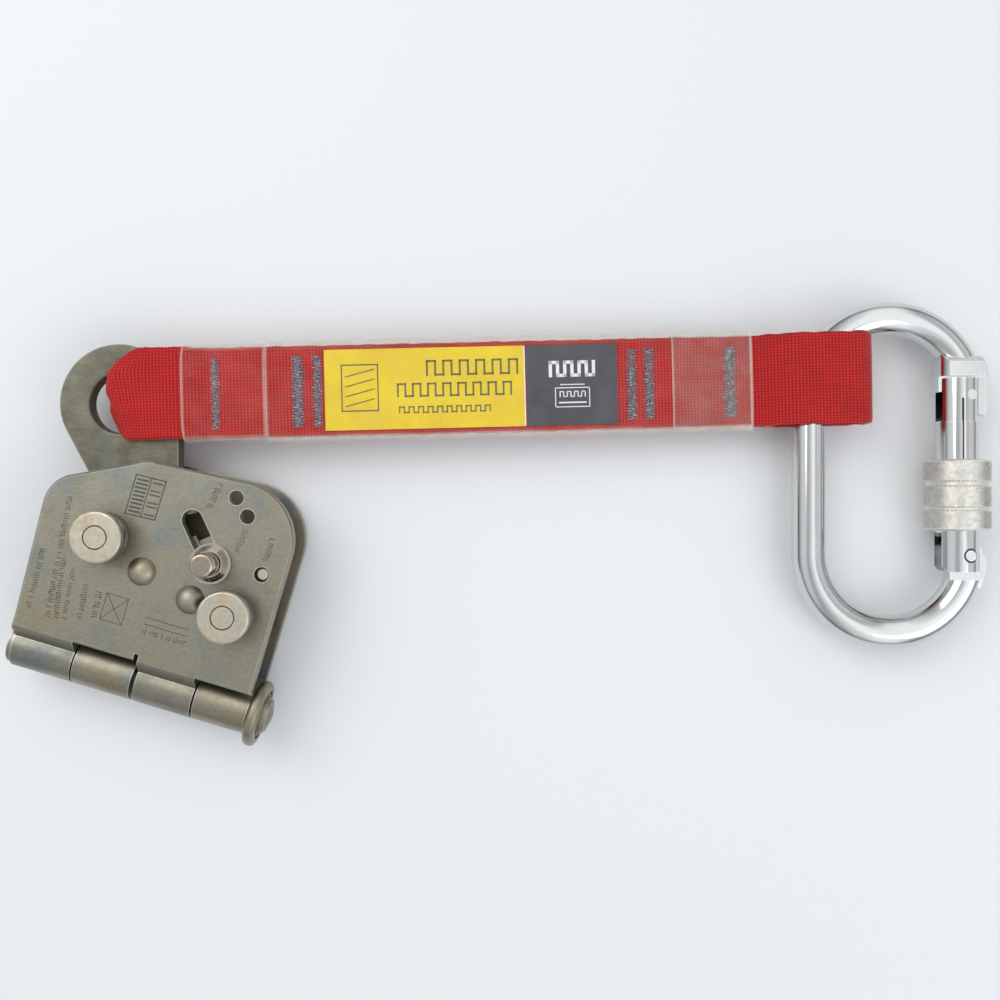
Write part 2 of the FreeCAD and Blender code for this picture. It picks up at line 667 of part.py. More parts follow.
# ================================================================ carabiner
def bar_path():
    """Middle line of the bar: top bend, spine, bottom bend."""
    def on_bend(centre_y, degrees):
        return moved(at(0, centre_y), BEND_R, degrees)
    top = Part.Arc(on_bend(0, 22), on_bend(0, 100), on_bend(0, 180))
    spine = Part.LineSegment(on_bend(0, 180), on_bend(-SPINE, 180))
    low = Part.Arc(on_bend(-SPINE, 180), on_bend(-SPINE, 265), on_bend(-SPINE, 352))
    return Part.Wire([top.toShape(), spine.toShape(), low.toShape()])


def carabiner_body():
    """Oval steel bar with a notched nose tongue and a hinge tang."""
    start = moved(Vector(), BEND_R, 22)
    section = Part.Wire(Part.makeCircle(BAR_R, start, moved(Vector(), 1, 22 + 90)))
    bar = bar_path().makePipeShell([section], True, True)
    bar = bar.cut(block(at(10, SHOULDER, -9), at(40, -30, 9)))
    nose = block(at(14.8, NOSE_FOOT, -6.2), at(29.5, NOSE_FOOT + 6.0, 6.2))
    nose = nose.makeChamfer(1.6, [e for e in nose.Edges if e.BoundBox.ZLength < 0.01 and
                                  e.BoundBox.YLength < 0.01 and e.BoundBox.YMin > NOSE_FOOT + 1])
    nose = nose.common(rod_y(8.3, NOSE_FOOT - 1, NOSE_FOOT + 8, 22.1))
    nose = nose.common(disc(BEND_R + BAR_R, -7, 7, Vector()))     # no corner stands out of the bend
    tongue = prism([(14.8, NOSE_FOOT + 1), (29.4, NOSE_FOOT + 1), (29.4, -5.6), (26.8, -5.0), (14.8, -1.2)],
                   -2.3, 2.3)
    catch = slot(at(12.0, -0.6), CATCH, 1.85, -3, 3)
    rivet_boss = disc(5.2, -2.4, 2.4, GATE_PIVOT)
    tang = block(at(18.2, SHOULDER - 2.5, -2.4), at(29.3, GATE_PIVOT.y + 1.0, 2.4))
    tang = rounded(tang, 3.0, lambda b: b.ZLength > 4 and b.XMin > 29 and b.YMin > SHOULDER)
    tang = tang.common(disc(BEND_R + BAR_R, -3, 3, at(0, -SPINE)))
    tang = tang.fuse(rivet_boss).cut(disc(1.8 + SNUG, -3, 3, GATE_PIVOT))
    return bar.fuse([nose, tongue.cut(catch), tang]).removeSplitter()


def gate_rivet():
    return rounded(disc(1.8, -GATE_R + 0.2, GATE_R - 0.2, GATE_PIVOT), 0.3, lambda b: b.ZLength < 0.01)


def gate():
    """Tube-shaped gate, forked at both ends, bored for its plunger and spring."""
    body = rod_y(GATE_R, GATE_FOOT, -7.6, GATE_X).fuse(rod_y(GATE_R - 0.3, -7.6, GATE_TOP, GATE_X))
    tip_fork = block(at(10, -7.4, -2.6), at(35, 10, 2.6))
    foot_fork = block(at(10, -60, -2.65), at(35, -41.6, 2.65))
    relief = prism([(10, GATE_FOOT - 1), (GATE_X - 3.6, GATE_FOOT - 1), (GATE_X - 7.2, GATE_FOOT + 3)], -8, 8)
    bore = rod_y(2.45, -45, -21.5, GATE_X)
    holes = [disc(1.8 + RUNNING, -9, 9, GATE_PIVOT), disc(1.5 + SNUG, -9, 9, CATCH)]
    return body.cut([tip_fork, foot_fork, relief, bore] + holes)


def gate_cross_pin():
    """Pin across the gate's tip that catches in the nose's notch."""
    return disc(1.5, -5.3, 5.3, CATCH)


def gate_plunger():
    """Sprung plunger that presses on the tang."""
    plunger = rod_y(2.35, -43.3, -38.0, GATE_X)
    return rounded(plunger, 0.6, lambda b: b.YMin < -43.2 and b.YLength < 0.01)


def gate_spring():
    spring = coil(1.85, 0.28, 1.2, 12.6, 0)
    spring.Placement = Placement(at(GATE_X, -37.6, 0), Rotation(ALONG, -90))
    return spring


def screw_sleeve():
    """Screw sleeve: a lower lip rides on the gate, a wide counterbore clears the nose."""
    low, high = SLEEVE_SPAN
    sleeve = rod_y(SLEEVE_R, low, high, GATE_X)
    for share in (0.34, 0.70):
        y = high - (high - low) * share
        ring = rod_y(SLEEVE_R + 1, y - 0.55, y + 0.55, GATE_X).cut(rod_y(SLEEVE_R - 0.5, y - 1, y + 1, GATE_X))
        sleeve = sleeve.cut(ring)
    sleeve = sleeve.makeChamfer(0.7, [e for e in sleeve.Edges if e.BoundBox.YLength < 0.01 and
                                      (e.BoundBox.YMin < low + 0.1 or e.BoundBox.YMin > high - 0.1)
                                      and e.BoundBox.XLength > 2 * SLEEVE_R - 0.1])
    return sleeve.cut([rod_y(GATE_R + RUNNING, low - 1, high + 1, GATE_X), rod_y(8.7, low + 4, high + 1, GATE_X)])


# ================================================================ the whole set
def frames():
    """Placements of the grab, the lanyard and the carabiner in the set's frame."""
    grab = Placement(GRAB_CORNER, Rotation(UP, GRAB_TURN))
    strap = Placement(grab.multVec(EYE), Rotation(UP, STRAP_TURN))
    carabiner = Placement(strap.multVec(BEND_FROM_EYE) + UP * BAR_LEVEL, Rotation())
    return grab, strap, carabiner


def build():
    """Every piece as (name, shape), each placed in the set's frame."""
    grab, strap, carabiner = frames()
    groups = [
        (grab, {
            "back_plate": back_plate(), "hinge_pin": hinge_pin(), "hinge_flange": hinge_flange(),
            "hinge_end_washer": hinge_end_washer(), "lever_axle": hollow_post(PIVOT),
            "guide_post": hollow_post(GUIDE), "latch_keeper": latch_keeper(),
            "locating_dowel": locating_dowel(), "lever_stop_pin": lever_stop_pin(),
            "spring_anchor_pin": spring_anchor_pin(), "lever_spring": lever_spring(),
            "rope_anvil": rope_anvil(), "anvil_rivets": anvil_rivets(),
            "front_plate": front_plate(), "guide_rivets": guide_rivets(), "latch_guide": latch_guide(),
            "button_collar_1": button_collar(PIVOT), "button_collar_2": button_collar(GUIDE),
            "button_spring_1": button_spring(PIVOT), "button_spring_2": button_spring(GUIDE),
            "button_cap_1": button_cap(PIVOT), "button_cap_2": button_cap(GUIDE),
            "button_pin_1": button_pin(PIVOT), "button_pin_2": button_pin(GUIDE),
            "latch_slider": latch_slider(), "latch_spacer": latch_spacer(),
            "latch_knob": latch_knob(), "latch_stud": latch_stud(),
            "lever": lever(), "lever_bush": lever_bush(), "spring_peg": spring_peg(),
        }),
        (strap, {
            "webbing": webbing(), "stitching": stitching(),
            "left_sleeve": flared_sleeve(),
            "long_sleeve": clear_sleeve(LONG_SLEEVE, 3.6, 4.1, 30.0, 31.2),
            "right_sleeve": clear_sleeve(RIGHT_SLEEVE, 3.05, 3.5, 28.0, 29.2),
            "instruction_label": label(YELLOW_LABEL), "rating_label": label(GREY_LABEL),
        }),
        (carabiner, {
            "carabiner_body": carabiner_body(), "gate_rivet": gate_rivet(), "gate": gate(),
            "gate_cross_pin": gate_cross_pin(), "gate_plunger": gate_plunger(),
            "gate_spring": gate_spring(), "screw_sleeve": screw_sleeve(),
        }),
    ]
    placed = []
    for frame, shapes in groups:
        for name, shape in shapes.items():
            shape.Placement = frame.multiply(shape.Placement)
            placed.append((name, shape))
    return placed


def main():
    os.makedirs("parts", exist_ok=True)
    whole = FreeCAD.BoundBox()
    for name, shape in build():
        shape.exportStep("parts/" + name + ".step")
        whole.add(shape.BoundBox)
        state = "ok" if shape.isValid() else "NOT VALID"
        print(f"{name:20s} {len(shape.Solids):2d} solids {shape.Volume:10.1f} mm3  {state}")
    print("whole set, mm:", whole)
    grab, strap, carabiner = frames()
    for name, place in (("grab", grab), ("strap", strap), ("carabiner", carabiner)):
        print(name, "frame at", [round(value, 3) for value in place.Base])


main()
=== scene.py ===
# %% [markdown]
# # A rope grab on its webbing lanyard
#
# A rope grab is a small steel box that a roofer clips round a hanging rope. This one opens
# like a book on a long hinge, and a toothed lever inside it bites the rope when the red
# strap is pulled. The CAD gives every rigid part its true shape. Here the steel gets its
# stains and brushing, and the soft or finely worked parts get modelled again: the woven
# strap, the thread, the clear plastic sleeves, the wave springs and the knurled sleeve.

# %% Load the CAD frame
import math
import bpy
import numpy as np
from mathutils import Matrix, Vector


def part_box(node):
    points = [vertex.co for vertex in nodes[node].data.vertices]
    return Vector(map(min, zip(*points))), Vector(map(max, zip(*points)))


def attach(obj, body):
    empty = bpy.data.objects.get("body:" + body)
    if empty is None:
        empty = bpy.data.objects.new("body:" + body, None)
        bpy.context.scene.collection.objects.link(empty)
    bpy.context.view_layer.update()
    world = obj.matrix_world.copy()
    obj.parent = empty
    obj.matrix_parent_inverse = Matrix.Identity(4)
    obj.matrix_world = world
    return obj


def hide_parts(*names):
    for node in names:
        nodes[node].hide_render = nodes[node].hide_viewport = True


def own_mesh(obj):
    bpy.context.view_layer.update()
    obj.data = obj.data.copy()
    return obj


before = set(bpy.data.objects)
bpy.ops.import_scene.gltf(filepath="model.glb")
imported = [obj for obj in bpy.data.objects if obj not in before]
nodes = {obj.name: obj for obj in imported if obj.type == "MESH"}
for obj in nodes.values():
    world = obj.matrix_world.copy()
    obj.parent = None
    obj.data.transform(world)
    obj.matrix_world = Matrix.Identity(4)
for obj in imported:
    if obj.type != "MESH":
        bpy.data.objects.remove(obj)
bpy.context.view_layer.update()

# %% [markdown]
# ## Three drawing boards
#
# The steel box, the strap and the snap hook each lie at their own small angle. Drawing a
# piece square to its own parent and in millimetres is how a maker would do it, so each
# group gets a matrix that carries such a drawing to its place. The push buttons' middles
# fix the first board, and the other two follow from it.

# %% Boards
MM = 0.001
BOX_TURN = -16.7          # degrees from +X to the hinge line
STRAP_TURN = 1.43         # degrees from +X to the strap
BUTTON_1 = Vector((19.1, 32.8, 0))
BUTTON_2 = Vector((60.8, 21.2, 0))
EYE = Vector((8.7, 71.5, 0))
HOOK_BEND = Vector((235.1, -3.57, 9.75))


def middle(node):
    low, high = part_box(node)
    return (low + high) / 2


def board(origin, degrees):
    """Matrix from a drawing in millimetres to the frame in metres."""
    turn = Matrix.Rotation(math.radians(degrees), 4, "Z")
    return Matrix.Translation(origin) @ turn @ Matrix.Scale(MM, 4)


button = middle("button_cap_1")
spin_only = board(Vector(), BOX_TURN)
box_board = board(Vector((button.x, button.y, 0)) - spin_only @ BUTTON_1, BOX_TURN)
strap_board = board(box_board @ EYE, STRAP_TURN)
hook_board = board(strap_board @ HOOK_BEND, 0)
for name, place in (("box", box_board), ("strap", strap_board), ("hook", hook_board)):
    print(name, "board starts at", [round(v, 4) for v in place.translation])

# %% [markdown]
# ## Camera, floor and light
#
# The set lies on a pale table and is seen straight from above. A soft, nearly white
# surrounding light keeps the shadows faint. It has a darker band a little above the horizon,
# because bright round bars only look like metal with something dark to mirror at their sides.

# %% Camera
CAMERA_HIGH = 0.330
bpy.ops.object.camera_add(location=(-0.00083, 0.00684, CAMERA_HIGH), rotation=(0, 0, 0))
camera = bpy.context.object
camera.data.sensor_width = 36
camera.data.lens = 36 * CAMERA_HIGH / (2 * 0.15935)
bpy.context.scene.camera = camera
bpy.context.scene.view_settings.view_transform = "Standard"
print("camera lens, mm:", round(camera.data.lens, 2))

# %% Surrounding light
world = bpy.data.worlds.new("soft_room")
bpy.context.scene.world = world
world.use_nodes = True
sky = world.node_tree
place_node = sky.nodes.new("ShaderNodeTexCoord")
split_node = sky.nodes.new("ShaderNodeSeparateXYZ")
ramp_node = sky.nodes.new("ShaderNodeValToRGB")
sky.links.new(place_node.outputs["Generated"], split_node.inputs[0])
sky.links.new(split_node.outputs["Z"], ramp_node.inputs[0])
shift_node = sky.nodes.new("ShaderNodeMath")
shift_node.operation = "MULTIPLY_ADD"
shift_node.inputs[1].default_value = 0.5
shift_node.inputs[2].default_value = 0.5
side_node = sky.nodes.new("ShaderNodeValToRGB")
both_node = sky.nodes.new("ShaderNodeMixRGB")
both_node.blend_type = "MULTIPLY"
both_node.inputs[0].default_value = 1.0
sky.links.new(split_node.outputs["X"], shift_node.inputs[0])
sky.links.new(shift_node.outputs[0], side_node.inputs[0])
sky.links.new(ramp_node.outputs[0], both_node.inputs[1])
sky.links.new(side_node.outputs[0], both_node.inputs[2])
sky.links.new(both_node.outputs[0], sky.nodes["Background"].inputs[0])


def tones(node, *stops):
    """Fills a ramp with (position, grey) stops; the greys are a little blue."""
    marks = node.color_ramp.elements
    while len(marks) < len(stops):
        marks.new(0.5)
    for mark, (position, tone) in zip(marks, stops):
        mark.position = position
        mark.color = (tone, tone * 1.008, tone * 1.02, 1)


tones(ramp_node, (0.0, 0.72), (0.06, 0.55), (0.13, 0.34), (0.22, 0.44), (0.34, 0.74), (0.5, 0.9), (1.0, 0.97))
tones(side_node, (0.0, 0.95), (0.18, 0.9), (0.30, 0.55), (0.42, 0.68), (0.475, 0.95), (0.53, 1.0),
      (0.60, 1.35), (0.70, 1.35), (0.76, 0.62), (0.84, 0.85), (1.0, 0.97))
sky.nodes["Background"].inputs["Strength"].default_value = 0.93


def soft_lamp(name, place, size, power, colour=(1, 1, 1)):
    """Square lamp that looks at the middle of the set."""
    bpy.ops.object.light_add(type="AREA", location=place)
    lamp = bpy.context.object
    lamp.name = name
    lamp.data.size = size
    lamp.data.energy = power
    lamp.data.color = colour
    lamp.rotation_euler = (-Vector(place)).to_track_quat("-Z", "Y").to_euler()
    return lamp


soft_lamp("window_left", (-0.45, 0.45, 0.75), 0.7, 3.4, (1.0, 0.99, 0.97))
soft_lamp("fill_right", (0.6, -0.35, 0.6), 0.5, 1.4, (0.95, 0.97, 1.0))

# %% [markdown]
# ## How a finish is built
#
# Every finish here is one shader with a few patterns in front of it. A small helper adds a
# node and joins it up in one line, so that the recipes below read like recipes. The
# patterns are laid on the piece's own coordinates, so they stay put when a joint moves.

# %% Finish helpers
class Finish:
    """A new material, with short ways to add a node and to join two."""

    def __init__(self, name, metal=0.0, rough=0.5):
        self.material = bpy.data.materials.new(name)
        self.material.use_nodes = True
        self.tree = self.material.node_tree
        self.shader = self.tree.nodes["Principled BSDF"]
        self.shader.inputs["Metallic"].default_value = metal
        self.shader.inputs["Roughness"].default_value = rough

    def add(self, kind, feeds=None, **settings):
        """Adds a node; in_ settings name its sockets, the others are its own properties.

        A node or an output given as a value is linked, anything else is set. With feeds,
        the new node's first output is also linked to that socket of the main shader.
        """
        node = self.tree.nodes.new("ShaderNode" + kind)
        for key, value in settings.items():
            if not key.startswith("in_"):
                setattr(node, key, value)
        for key, value in settings.items():
            if key.startswith("in_"):
                socket = key[3:].replace("_", " ")
                socket = int(socket) if socket.isdigit() else socket
                self.feed(value, node.inputs[socket])
        if feeds:
            self.tree.links.new(node.outputs[0], self.shader.inputs[feeds])
        return node

    def feed(self, value, socket):
        if isinstance(value, bpy.types.Node):
            value = value.outputs[0]
        if isinstance(value, bpy.types.NodeSocket):
            self.tree.links.new(value, socket)
        else:
            socket.default_value = value

    def spots(self, where, scale, detail=3.0, rough=0.55):
        return self.add("TexNoise", in_Vector=where, in_Scale=scale, in_Detail=detail, in_Roughness=rough)

    def ramp(self, factor, *stops):
        """Colour ramp with stops of (position, colour or grey)."""
        node = self.add("ValToRGB", in_0=factor)
        marks = node.color_ramp.elements
        while len(marks) < len(stops):
            marks.new(0.5)
        for mark, (position, tone) in zip(marks, stops):
            tone = (tone,) * 3 if isinstance(tone, (int, float)) else tone
            mark.position = position
            mark.color = (*tone, 1)
        return node

    def blend(self, factor, first, second, kind="MIX"):
        node = self.add("MixRGB", blend_type=kind, in_0=factor)
        self.feed(first, node.inputs[1])
        self.feed(second, node.inputs[2])
        return node

    def maths(self, operation, first, second=0.0):
        return self.add("Math", operation=operation, in_0=first, in_1=second)


def linear(red, green, blue):
    """Screen colour, 0 to 255, as the shader wants it."""
    return tuple((c / 255) ** 2.2 for c in (red, green, blue))


def cover(finish, *names):
    """Gives CAD nodes this finish through their own slots."""
    for name in names:
        piece = nodes[name]
        piece.data.materials.clear()
        piece.data.materials.append(None)
        piece.material_slots[0].link = "OBJECT"
        piece.material_slots[0].material = finish.material
    print(finish.material.name, "on", ", ".join(names))


# %% [markdown]
# ## Steel that has been heated and handled
#
# The box is stamped stainless sheet. It is dull and slightly warm in colour, with cloudy
# blue-grey and tan patches where it was heated, short grinding marks, and brighter metal
# along its worn edges. Two sizes of noise make the patches, a noise pulled out along the
# hinge makes the grinding marks, and a bevel lookup finds the edges.

# %% Steel finishes
def steel(name, body, tan, blue, rough, grain=0.35, edge=(0.62, 0.61, 0.55), patch=95.0, tint=0.6,
          turn=BOX_TURN, metal=1.0, cloudy=1.0):
    """Stained steel: body colour, tan and blue patches, grinding marks and bright edges."""
    f = Finish(name, metal, rough)
    where = f.add("TexCoord").outputs["Object"]
    cloud = f.spots(where, patch, 4.0)
    shifted = f.add("Mapping", in_Vector=where, in_Location=(0.31, 0.17, 0.05))
    cloud_2 = f.spots(shifted, patch * 0.6, 3.0)
    along = f.add("Mapping", in_Vector=where, in_Rotation=(0, 0, math.radians(-turn)),
                  in_Scale=(0.12, 1.6, 1.6))
    marks = f.spots(along, 2600.0, 2.0, 0.6)
    fine = f.spots(where, 900.0, 3.0, 0.6)
    base = f.blend(f.ramp(cloud, (0.38, 0.0), (0.66, tint)), (*body, 1), (*tan, 1))
    base = f.blend(f.ramp(cloud_2, (0.5, 0.0), (0.68, tint)), base, (*blue, 1))
    tone = f.ramp(fine, (0.3, 0.84), (0.7, 1.06))
    base = f.blend(0.75 * cloudy, base, tone, "MULTIPLY")
    tone_2 = f.ramp(marks, (0.3, 1.0 - grain * 0.4), (0.7, 1.0 + grain * 0.25))
    base = f.blend(0.8, base, tone_2, "MULTIPLY")
    bevel = f.add("Bevel", samples=4, in_Radius=0.0007)
    face = f.add("NewGeometry").outputs["Normal"]
    turned = f.add("VectorMath", operation="DOT_PRODUCT", in_0=bevel, in_1=face)
    worn = f.ramp(turned.outputs["Value"], (0.80, 1.0), (0.985, 0.0))
    base = f.blend(worn, base, (*edge, 1))
    f.feed(base, f.shader.inputs["Base Color"])
    spread = 0.10 * cloudy
    gloss = f.ramp(cloud, (0.3, max(rough - spread, 0.05)), (0.7, rough + spread))
    f.feed(gloss, f.shader.inputs["Roughness"])
    relief = f.maths("ADD", f.maths("MULTIPLY", marks, grain), f.maths("MULTIPLY", fine, 0.25))
    f.add("Bump", "Normal", in_Strength=0.22 * cloudy, in_Distance=0.00006, in_Height=relief)
    return f


plate_steel = steel("stained_sheet", linear(152, 149, 134), linear(148, 140, 121),
                    linear(128, 136, 136), 0.46, tint=0.7)
case_steel = steel("stained_case", linear(158, 153, 136), linear(150, 138, 115),
                   linear(128, 140, 145), 0.42, tint=0.8)
rivet_steel = steel("rivet_steel", linear(176, 170, 152), linear(162, 146, 120),
                    linear(152, 152, 146), 0.46, 0.15)
button_steel = steel("turned_button", linear(202, 199, 184), linear(182, 160, 124),
                     linear(182, 188, 184), 0.40, 0.15,
                     edge=(0.78, 0.77, 0.70), patch=230.0, tint=0.6)
knob_steel = steel("polished_knob", linear(196, 188, 170), linear(170, 146, 122),
                   linear(168, 168, 164), 0.16, 0.1,
                   edge=(0.9, 0.88, 0.8), patch=260.0)
lever_steel = steel("blasted_lever", linear(124, 123, 109), linear(118, 113, 97),
                    linear(112, 115, 110), 0.58, 0.5,
                    edge=(0.45, 0.45, 0.42), patch=160.0)
# painted shade: the button collars and the works inside the box and the gate get a dark body for the shade
# they sit in
dark_steel = steel("shaded_works", linear(92, 88, 78), linear(80, 70, 58), linear(72, 74, 74), 0.5)
slide_steel = steel("bright_slide", linear(186, 182, 168), linear(150, 140, 122), linear(160, 162, 160), 0.34)
straw_steel = steel("straw_spring", linear(196, 170, 120), linear(150, 118, 72),
                    linear(176, 172, 160), 0.22, 0.1)
bronze = steel("bush_bronze", linear(150, 112, 70), linear(120, 84, 50), linear(140, 118, 90), 0.35)
# painted light: the latch guide gets a pale, nearly non-metal body so that the slot, which the box shades,
# reads lighter
slot_steel = steel("slot_floor", linear(206, 198, 176), linear(190, 172, 140), linear(170, 166, 154), 0.75,
                   metal=0.1)

cover(plate_steel, "front_plate")
cover(case_steel, "back_plate", "hinge_flange", "hinge_end_washer", "hinge_pin")
cover(rivet_steel, "guide_rivets", "anvil_rivets", "lever_axle", "guide_post", "latch_keeper",
      "lever_stop_pin", "spring_anchor_pin")
cover(button_steel, "button_cap_1", "button_cap_2", "button_pin_1", "button_pin_2")
cover(knob_steel, "latch_knob", "latch_stud")
cover(slide_steel, "latch_slider", "spring_peg")
cover(button_steel, "locating_dowel")
cover(lever_steel, "lever")
cover(dark_steel, "button_collar_1", "button_collar_2", "latch_spacer", "rope_anvil", "lever_spring")
cover(slot_steel, "latch_guide")
cover(bronze, "lever_bush")

# %% [markdown]
# ## Bright plated steel for the hook
#
# The oval hook is polished and zinc plated, so it is almost a mirror with a faint blue and
# cream cast. Its screw sleeve is cast and knurled, and the plating there is matt and
# speckled. The same recipe gives both with other numbers.

# %% Plated finishes
seam_shadow = steel("seam_shadow", linear(66, 60, 54), linear(84, 66, 50), linear(50, 50, 52), 0.6, metal=0.2,
                    edge=linear(60, 54, 48))
zinc = steel("bright_zinc", linear(216, 219, 219), linear(214, 206, 188), linear(190, 203, 210), 0.13, 0.02,
             edge=(0.86, 0.88, 0.9), patch=40.0, tint=0.35, turn=0, cloudy=0.3)
matt_zinc = steel("knurled_zinc", linear(236, 235, 228), linear(222, 214, 196),
                  linear(212, 214, 214), 0.48, 0.5,
                  edge=(0.9, 0.9, 0.88), patch=620.0, tint=0.8, turn=0)
cover(zinc, "carabiner_body", "gate", "gate_rivet", "gate_cross_pin", "gate_plunger")
cover(dark_steel, "gate_spring")

# %% [markdown]
# ## Tools of the bench
#
# Short helpers hold the steps that every new piece shares: select only it, apply a
# modifier, join several parts, tidy a mesh, and read or set its points. The one called
# mount puts the finished drawing on its board, rides the piece on its body and hides the
# CAD nodes it stands for.

# %% Bench helpers
def only(*pieces):
    """Deselects everything, then selects these; the first one is active."""
    if bpy.context.object and bpy.context.object.mode != "OBJECT":
        bpy.ops.object.mode_set(mode="OBJECT")
    bpy.ops.object.select_all(action="DESELECT")
    for piece in pieces:
        piece.select_set(True)
    bpy.context.view_layer.objects.active = pieces[0]
    return pieces[0]


def modify(piece, kind, **settings):
    """Adds a modifier and applies it."""
    only(piece)
    modifier = piece.modifiers.new(kind.lower(), kind)
    for key, value in settings.items():
        setattr(modifier, key, value)
    bpy.ops.object.modifier_apply(modifier=modifier.name)
    return piece


def joined(pieces):
    only(*pieces)
    if len(pieces) > 1:
        bpy.ops.object.join()
    return bpy.context.object


def mount(piece, name, place, body, finish, stands_for=(), smooth=35):
    """Carries a drawing to its place, bakes the place into the mesh and rides it on a body."""
    only(piece)
    piece.name = piece.data.name = name
    piece.matrix_world = place @ piece.matrix_world
    bpy.ops.object.transform_apply(location=True, rotation=True, scale=True)
    if smooth:
        bpy.ops.object.shade_smooth_by_angle(angle=math.radians(smooth))
    piece.data.materials.clear()
    piece.data.materials.append(finish.material)
    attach(piece, body)
    if stands_for:
        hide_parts(*stands_for)
    print(name, "rides on", body, "with", len(piece.data.polygons), "faces")
    return piece


def clean(piece):
    """Merges doubles and turns every face outwards."""
    only(piece)
    bpy.ops.object.mode_set(mode="EDIT")
    bpy.ops.mesh.select_all(action="SELECT")
    bpy.ops.mesh.remove_doubles(threshold=0.0005)
    bpy.ops.mesh.normals_make_consistent(inside=False)
    bpy.ops.object.mode_set(mode="OBJECT")
    return piece


def points_of(piece):
    flat = np.empty(len(piece.data.vertices) * 3)
    piece.data.vertices.foreach_get("co", flat)
    return flat.reshape(-1, 3)


def set_points(piece, points):
    piece.data.vertices.foreach_set("co", np.ascontiguousarray(points, dtype=np.float32).ravel())
    piece.data.update()


# %% [markdown]
# ## Woven red strap
#
# The strap is one endless belt of heavy webbing, 27 mm wide. It goes through the lever's
# eye, closes up into a doubled strap, and opens again round the hook's bar. An endless
# belt is a ring whose cross-section is flat. A fine grid is a good start: each of its rows
# is rolled into one hoop of the ribbed cross-section, and the hoops are laid on the route
# one after the other until the ends meet. The ribs and a shallow beat across them are real
# relief, because the weave shows at the fold. At the eye the belt gathers to pass the hole.

# %% The belt's route
LEVEL_FROM, LEVEL_TO = 13.0, 10.1
DOUBLE_FROM, DOUBLE_TO = 27.0, 194.0
STRAP_Y = 2.5
HALF_WIDE = 13.5
PLY_HALF = 1.12
EYE_FOLD, EYE_FOLD_R = 1.15, 4.55
BAR_FOLD, BAR_FOLD_R, BAR_LEVEL = 222.25, 6.75, 9.75
LEVER_LEVEL = 13.75


def strap_level(x):
    return LEVEL_FROM + (x - DOUBLE_FROM) / (DOUBLE_TO - DOUBLE_FROM) * (LEVEL_TO - LEVEL_FROM)


def arc(x, z, radius, start, end, steps=14):
    angles = np.radians(np.linspace(start, end, steps))
    return [(x + radius * math.cos(a), z + radius * math.sin(a)) for a in angles]


route = [(18.5, 18.3), (27.5, 14.35), (193.0, 11.45), (204.5, 16.5)]
route += arc(BAR_FOLD, BAR_LEVEL, BAR_FOLD_R, 90, -90)
route += [(204.5, 3.0), (193.0, 8.8), (27.5, 11.65), (18.5, 9.2)]
route += arc(EYE_FOLD, LEVER_LEVEL, EYE_FOLD_R, -90, -270)
HOOPS = 480


def resampled(line, count):
    """The closed line again, with equally spaced points."""
    line = np.array(line + line[:1], float)
    steps = np.hypot(*np.diff(line, axis=0).T)
    reach = np.concatenate([[0], np.cumsum(steps)])
    at = np.linspace(0, reach[-1], count, endpoint=False)
    return np.column_stack([np.interp(at, reach, line[:, k]) for k in (0, 1)]), reach[-1]


route, belt_length = resampled(route, HOOPS)
for _ in range(4):
    route = (np.roll(route, 1, 0) + 2 * route + np.roll(route, -1, 0)) / 4
print("belt length, mm:", round(belt_length, 1))

# %% The belt's cross-section and its laying
RIBS = 30
RIB_POINTS = 3
EDGE_POINTS = 4
rib_rise = np.tile([-0.16, 0.04, 0.06], RIBS)
across = np.linspace(-1, 1, RIBS * RIB_POINTS, endpoint=False) + 1 / (RIBS * RIB_POINTS)
round_edge = np.radians(np.linspace(90, -90, EDGE_POINTS + 2)[1:-1])
# one hoop: outer face, right edge, inner face, left edge, as (share across, height, rise)
hoop = [(s * 0.985, PLY_HALF, r) for s, r in zip(across, rib_rise)]
hoop += [(1.0 + 0.03 * math.cos(a), PLY_HALF * math.sin(a) * 0.9, 0.0) for a in round_edge]
hoop += [(-s * 0.985, -PLY_HALF, -r) for s, r in zip(across, rib_rise)]
hoop += [(-1.0 - 0.03 * math.cos(a), -PLY_HALF * math.sin(a) * 0.9, 0.0) for a in round_edge]
hoop = np.array(hoop)

SECTION = len(hoop)
bpy.ops.mesh.primitive_grid_add(x_subdivisions=HOOPS, y_subdivisions=SECTION, size=2, calc_uvs=True)
belt = bpy.context.object
tangent = np.roll(route, -1, 0) - np.roll(route, 1, 0)
tangent /= np.hypot(*tangent.T)[:, None]
outward = np.column_stack([-tangent[:, 1], tangent[:, 0]])

x0, z0 = route[:, :1], route[:, 1:]
fold = np.clip((EYE_FOLD + 12.0 - x0) / 12.0, 0, 1)                 # 1 at the eye's fold
in_eye = np.clip((4.3 - np.abs(z0 - LEVER_LEVEL)) / 2.0, 0, 1) * (x0 < 4.0)
in_eye = in_eye * in_eye * (3 - 2 * in_eye)
share, height, rise = hoop[None, :, 0], hoop[None, :, 1], hoop[None, :, 2]
station = np.arange(HOOPS)[:, None]
rib = np.arange(len(hoop))[None, :] // RIB_POINTS
beat = np.where(station % 2 == 0, 1.0, -1.0) * np.where(rib % 4 == 3, -0.4, 1.0)
picks = beat * np.where(rise != 0, 0.045, 0.0) * np.sign(height)
wobble = 0.16 * np.sin(station * 0.9) * np.sin(station * 0.23 + 1.0)
half = HALF_WIDE + wobble - 5.7 * in_eye
y = STRAP_Y + share * half
slant = 0.19 * np.clip(8.6 - y, 0, None) + 7.2 * np.clip((share - 0.40) / 0.60, 0, None) ** 2 - 1.2
pleat = 0.25 * np.sin(share * 8.5 + 0.6) * in_eye
wave = 0.10 * np.sin(x0 * 0.11 + share * 1.3) + 0.06 * np.sin(x0 * 0.31 - share * 2.0)
off = height + rise + picks + pleat + wave
x = x0 + outward[:, :1] * off + slant * fold ** 2
z = z0 + outward[:, 1:] * off
laid = np.stack([x, y + 0 * x, z], axis=2)
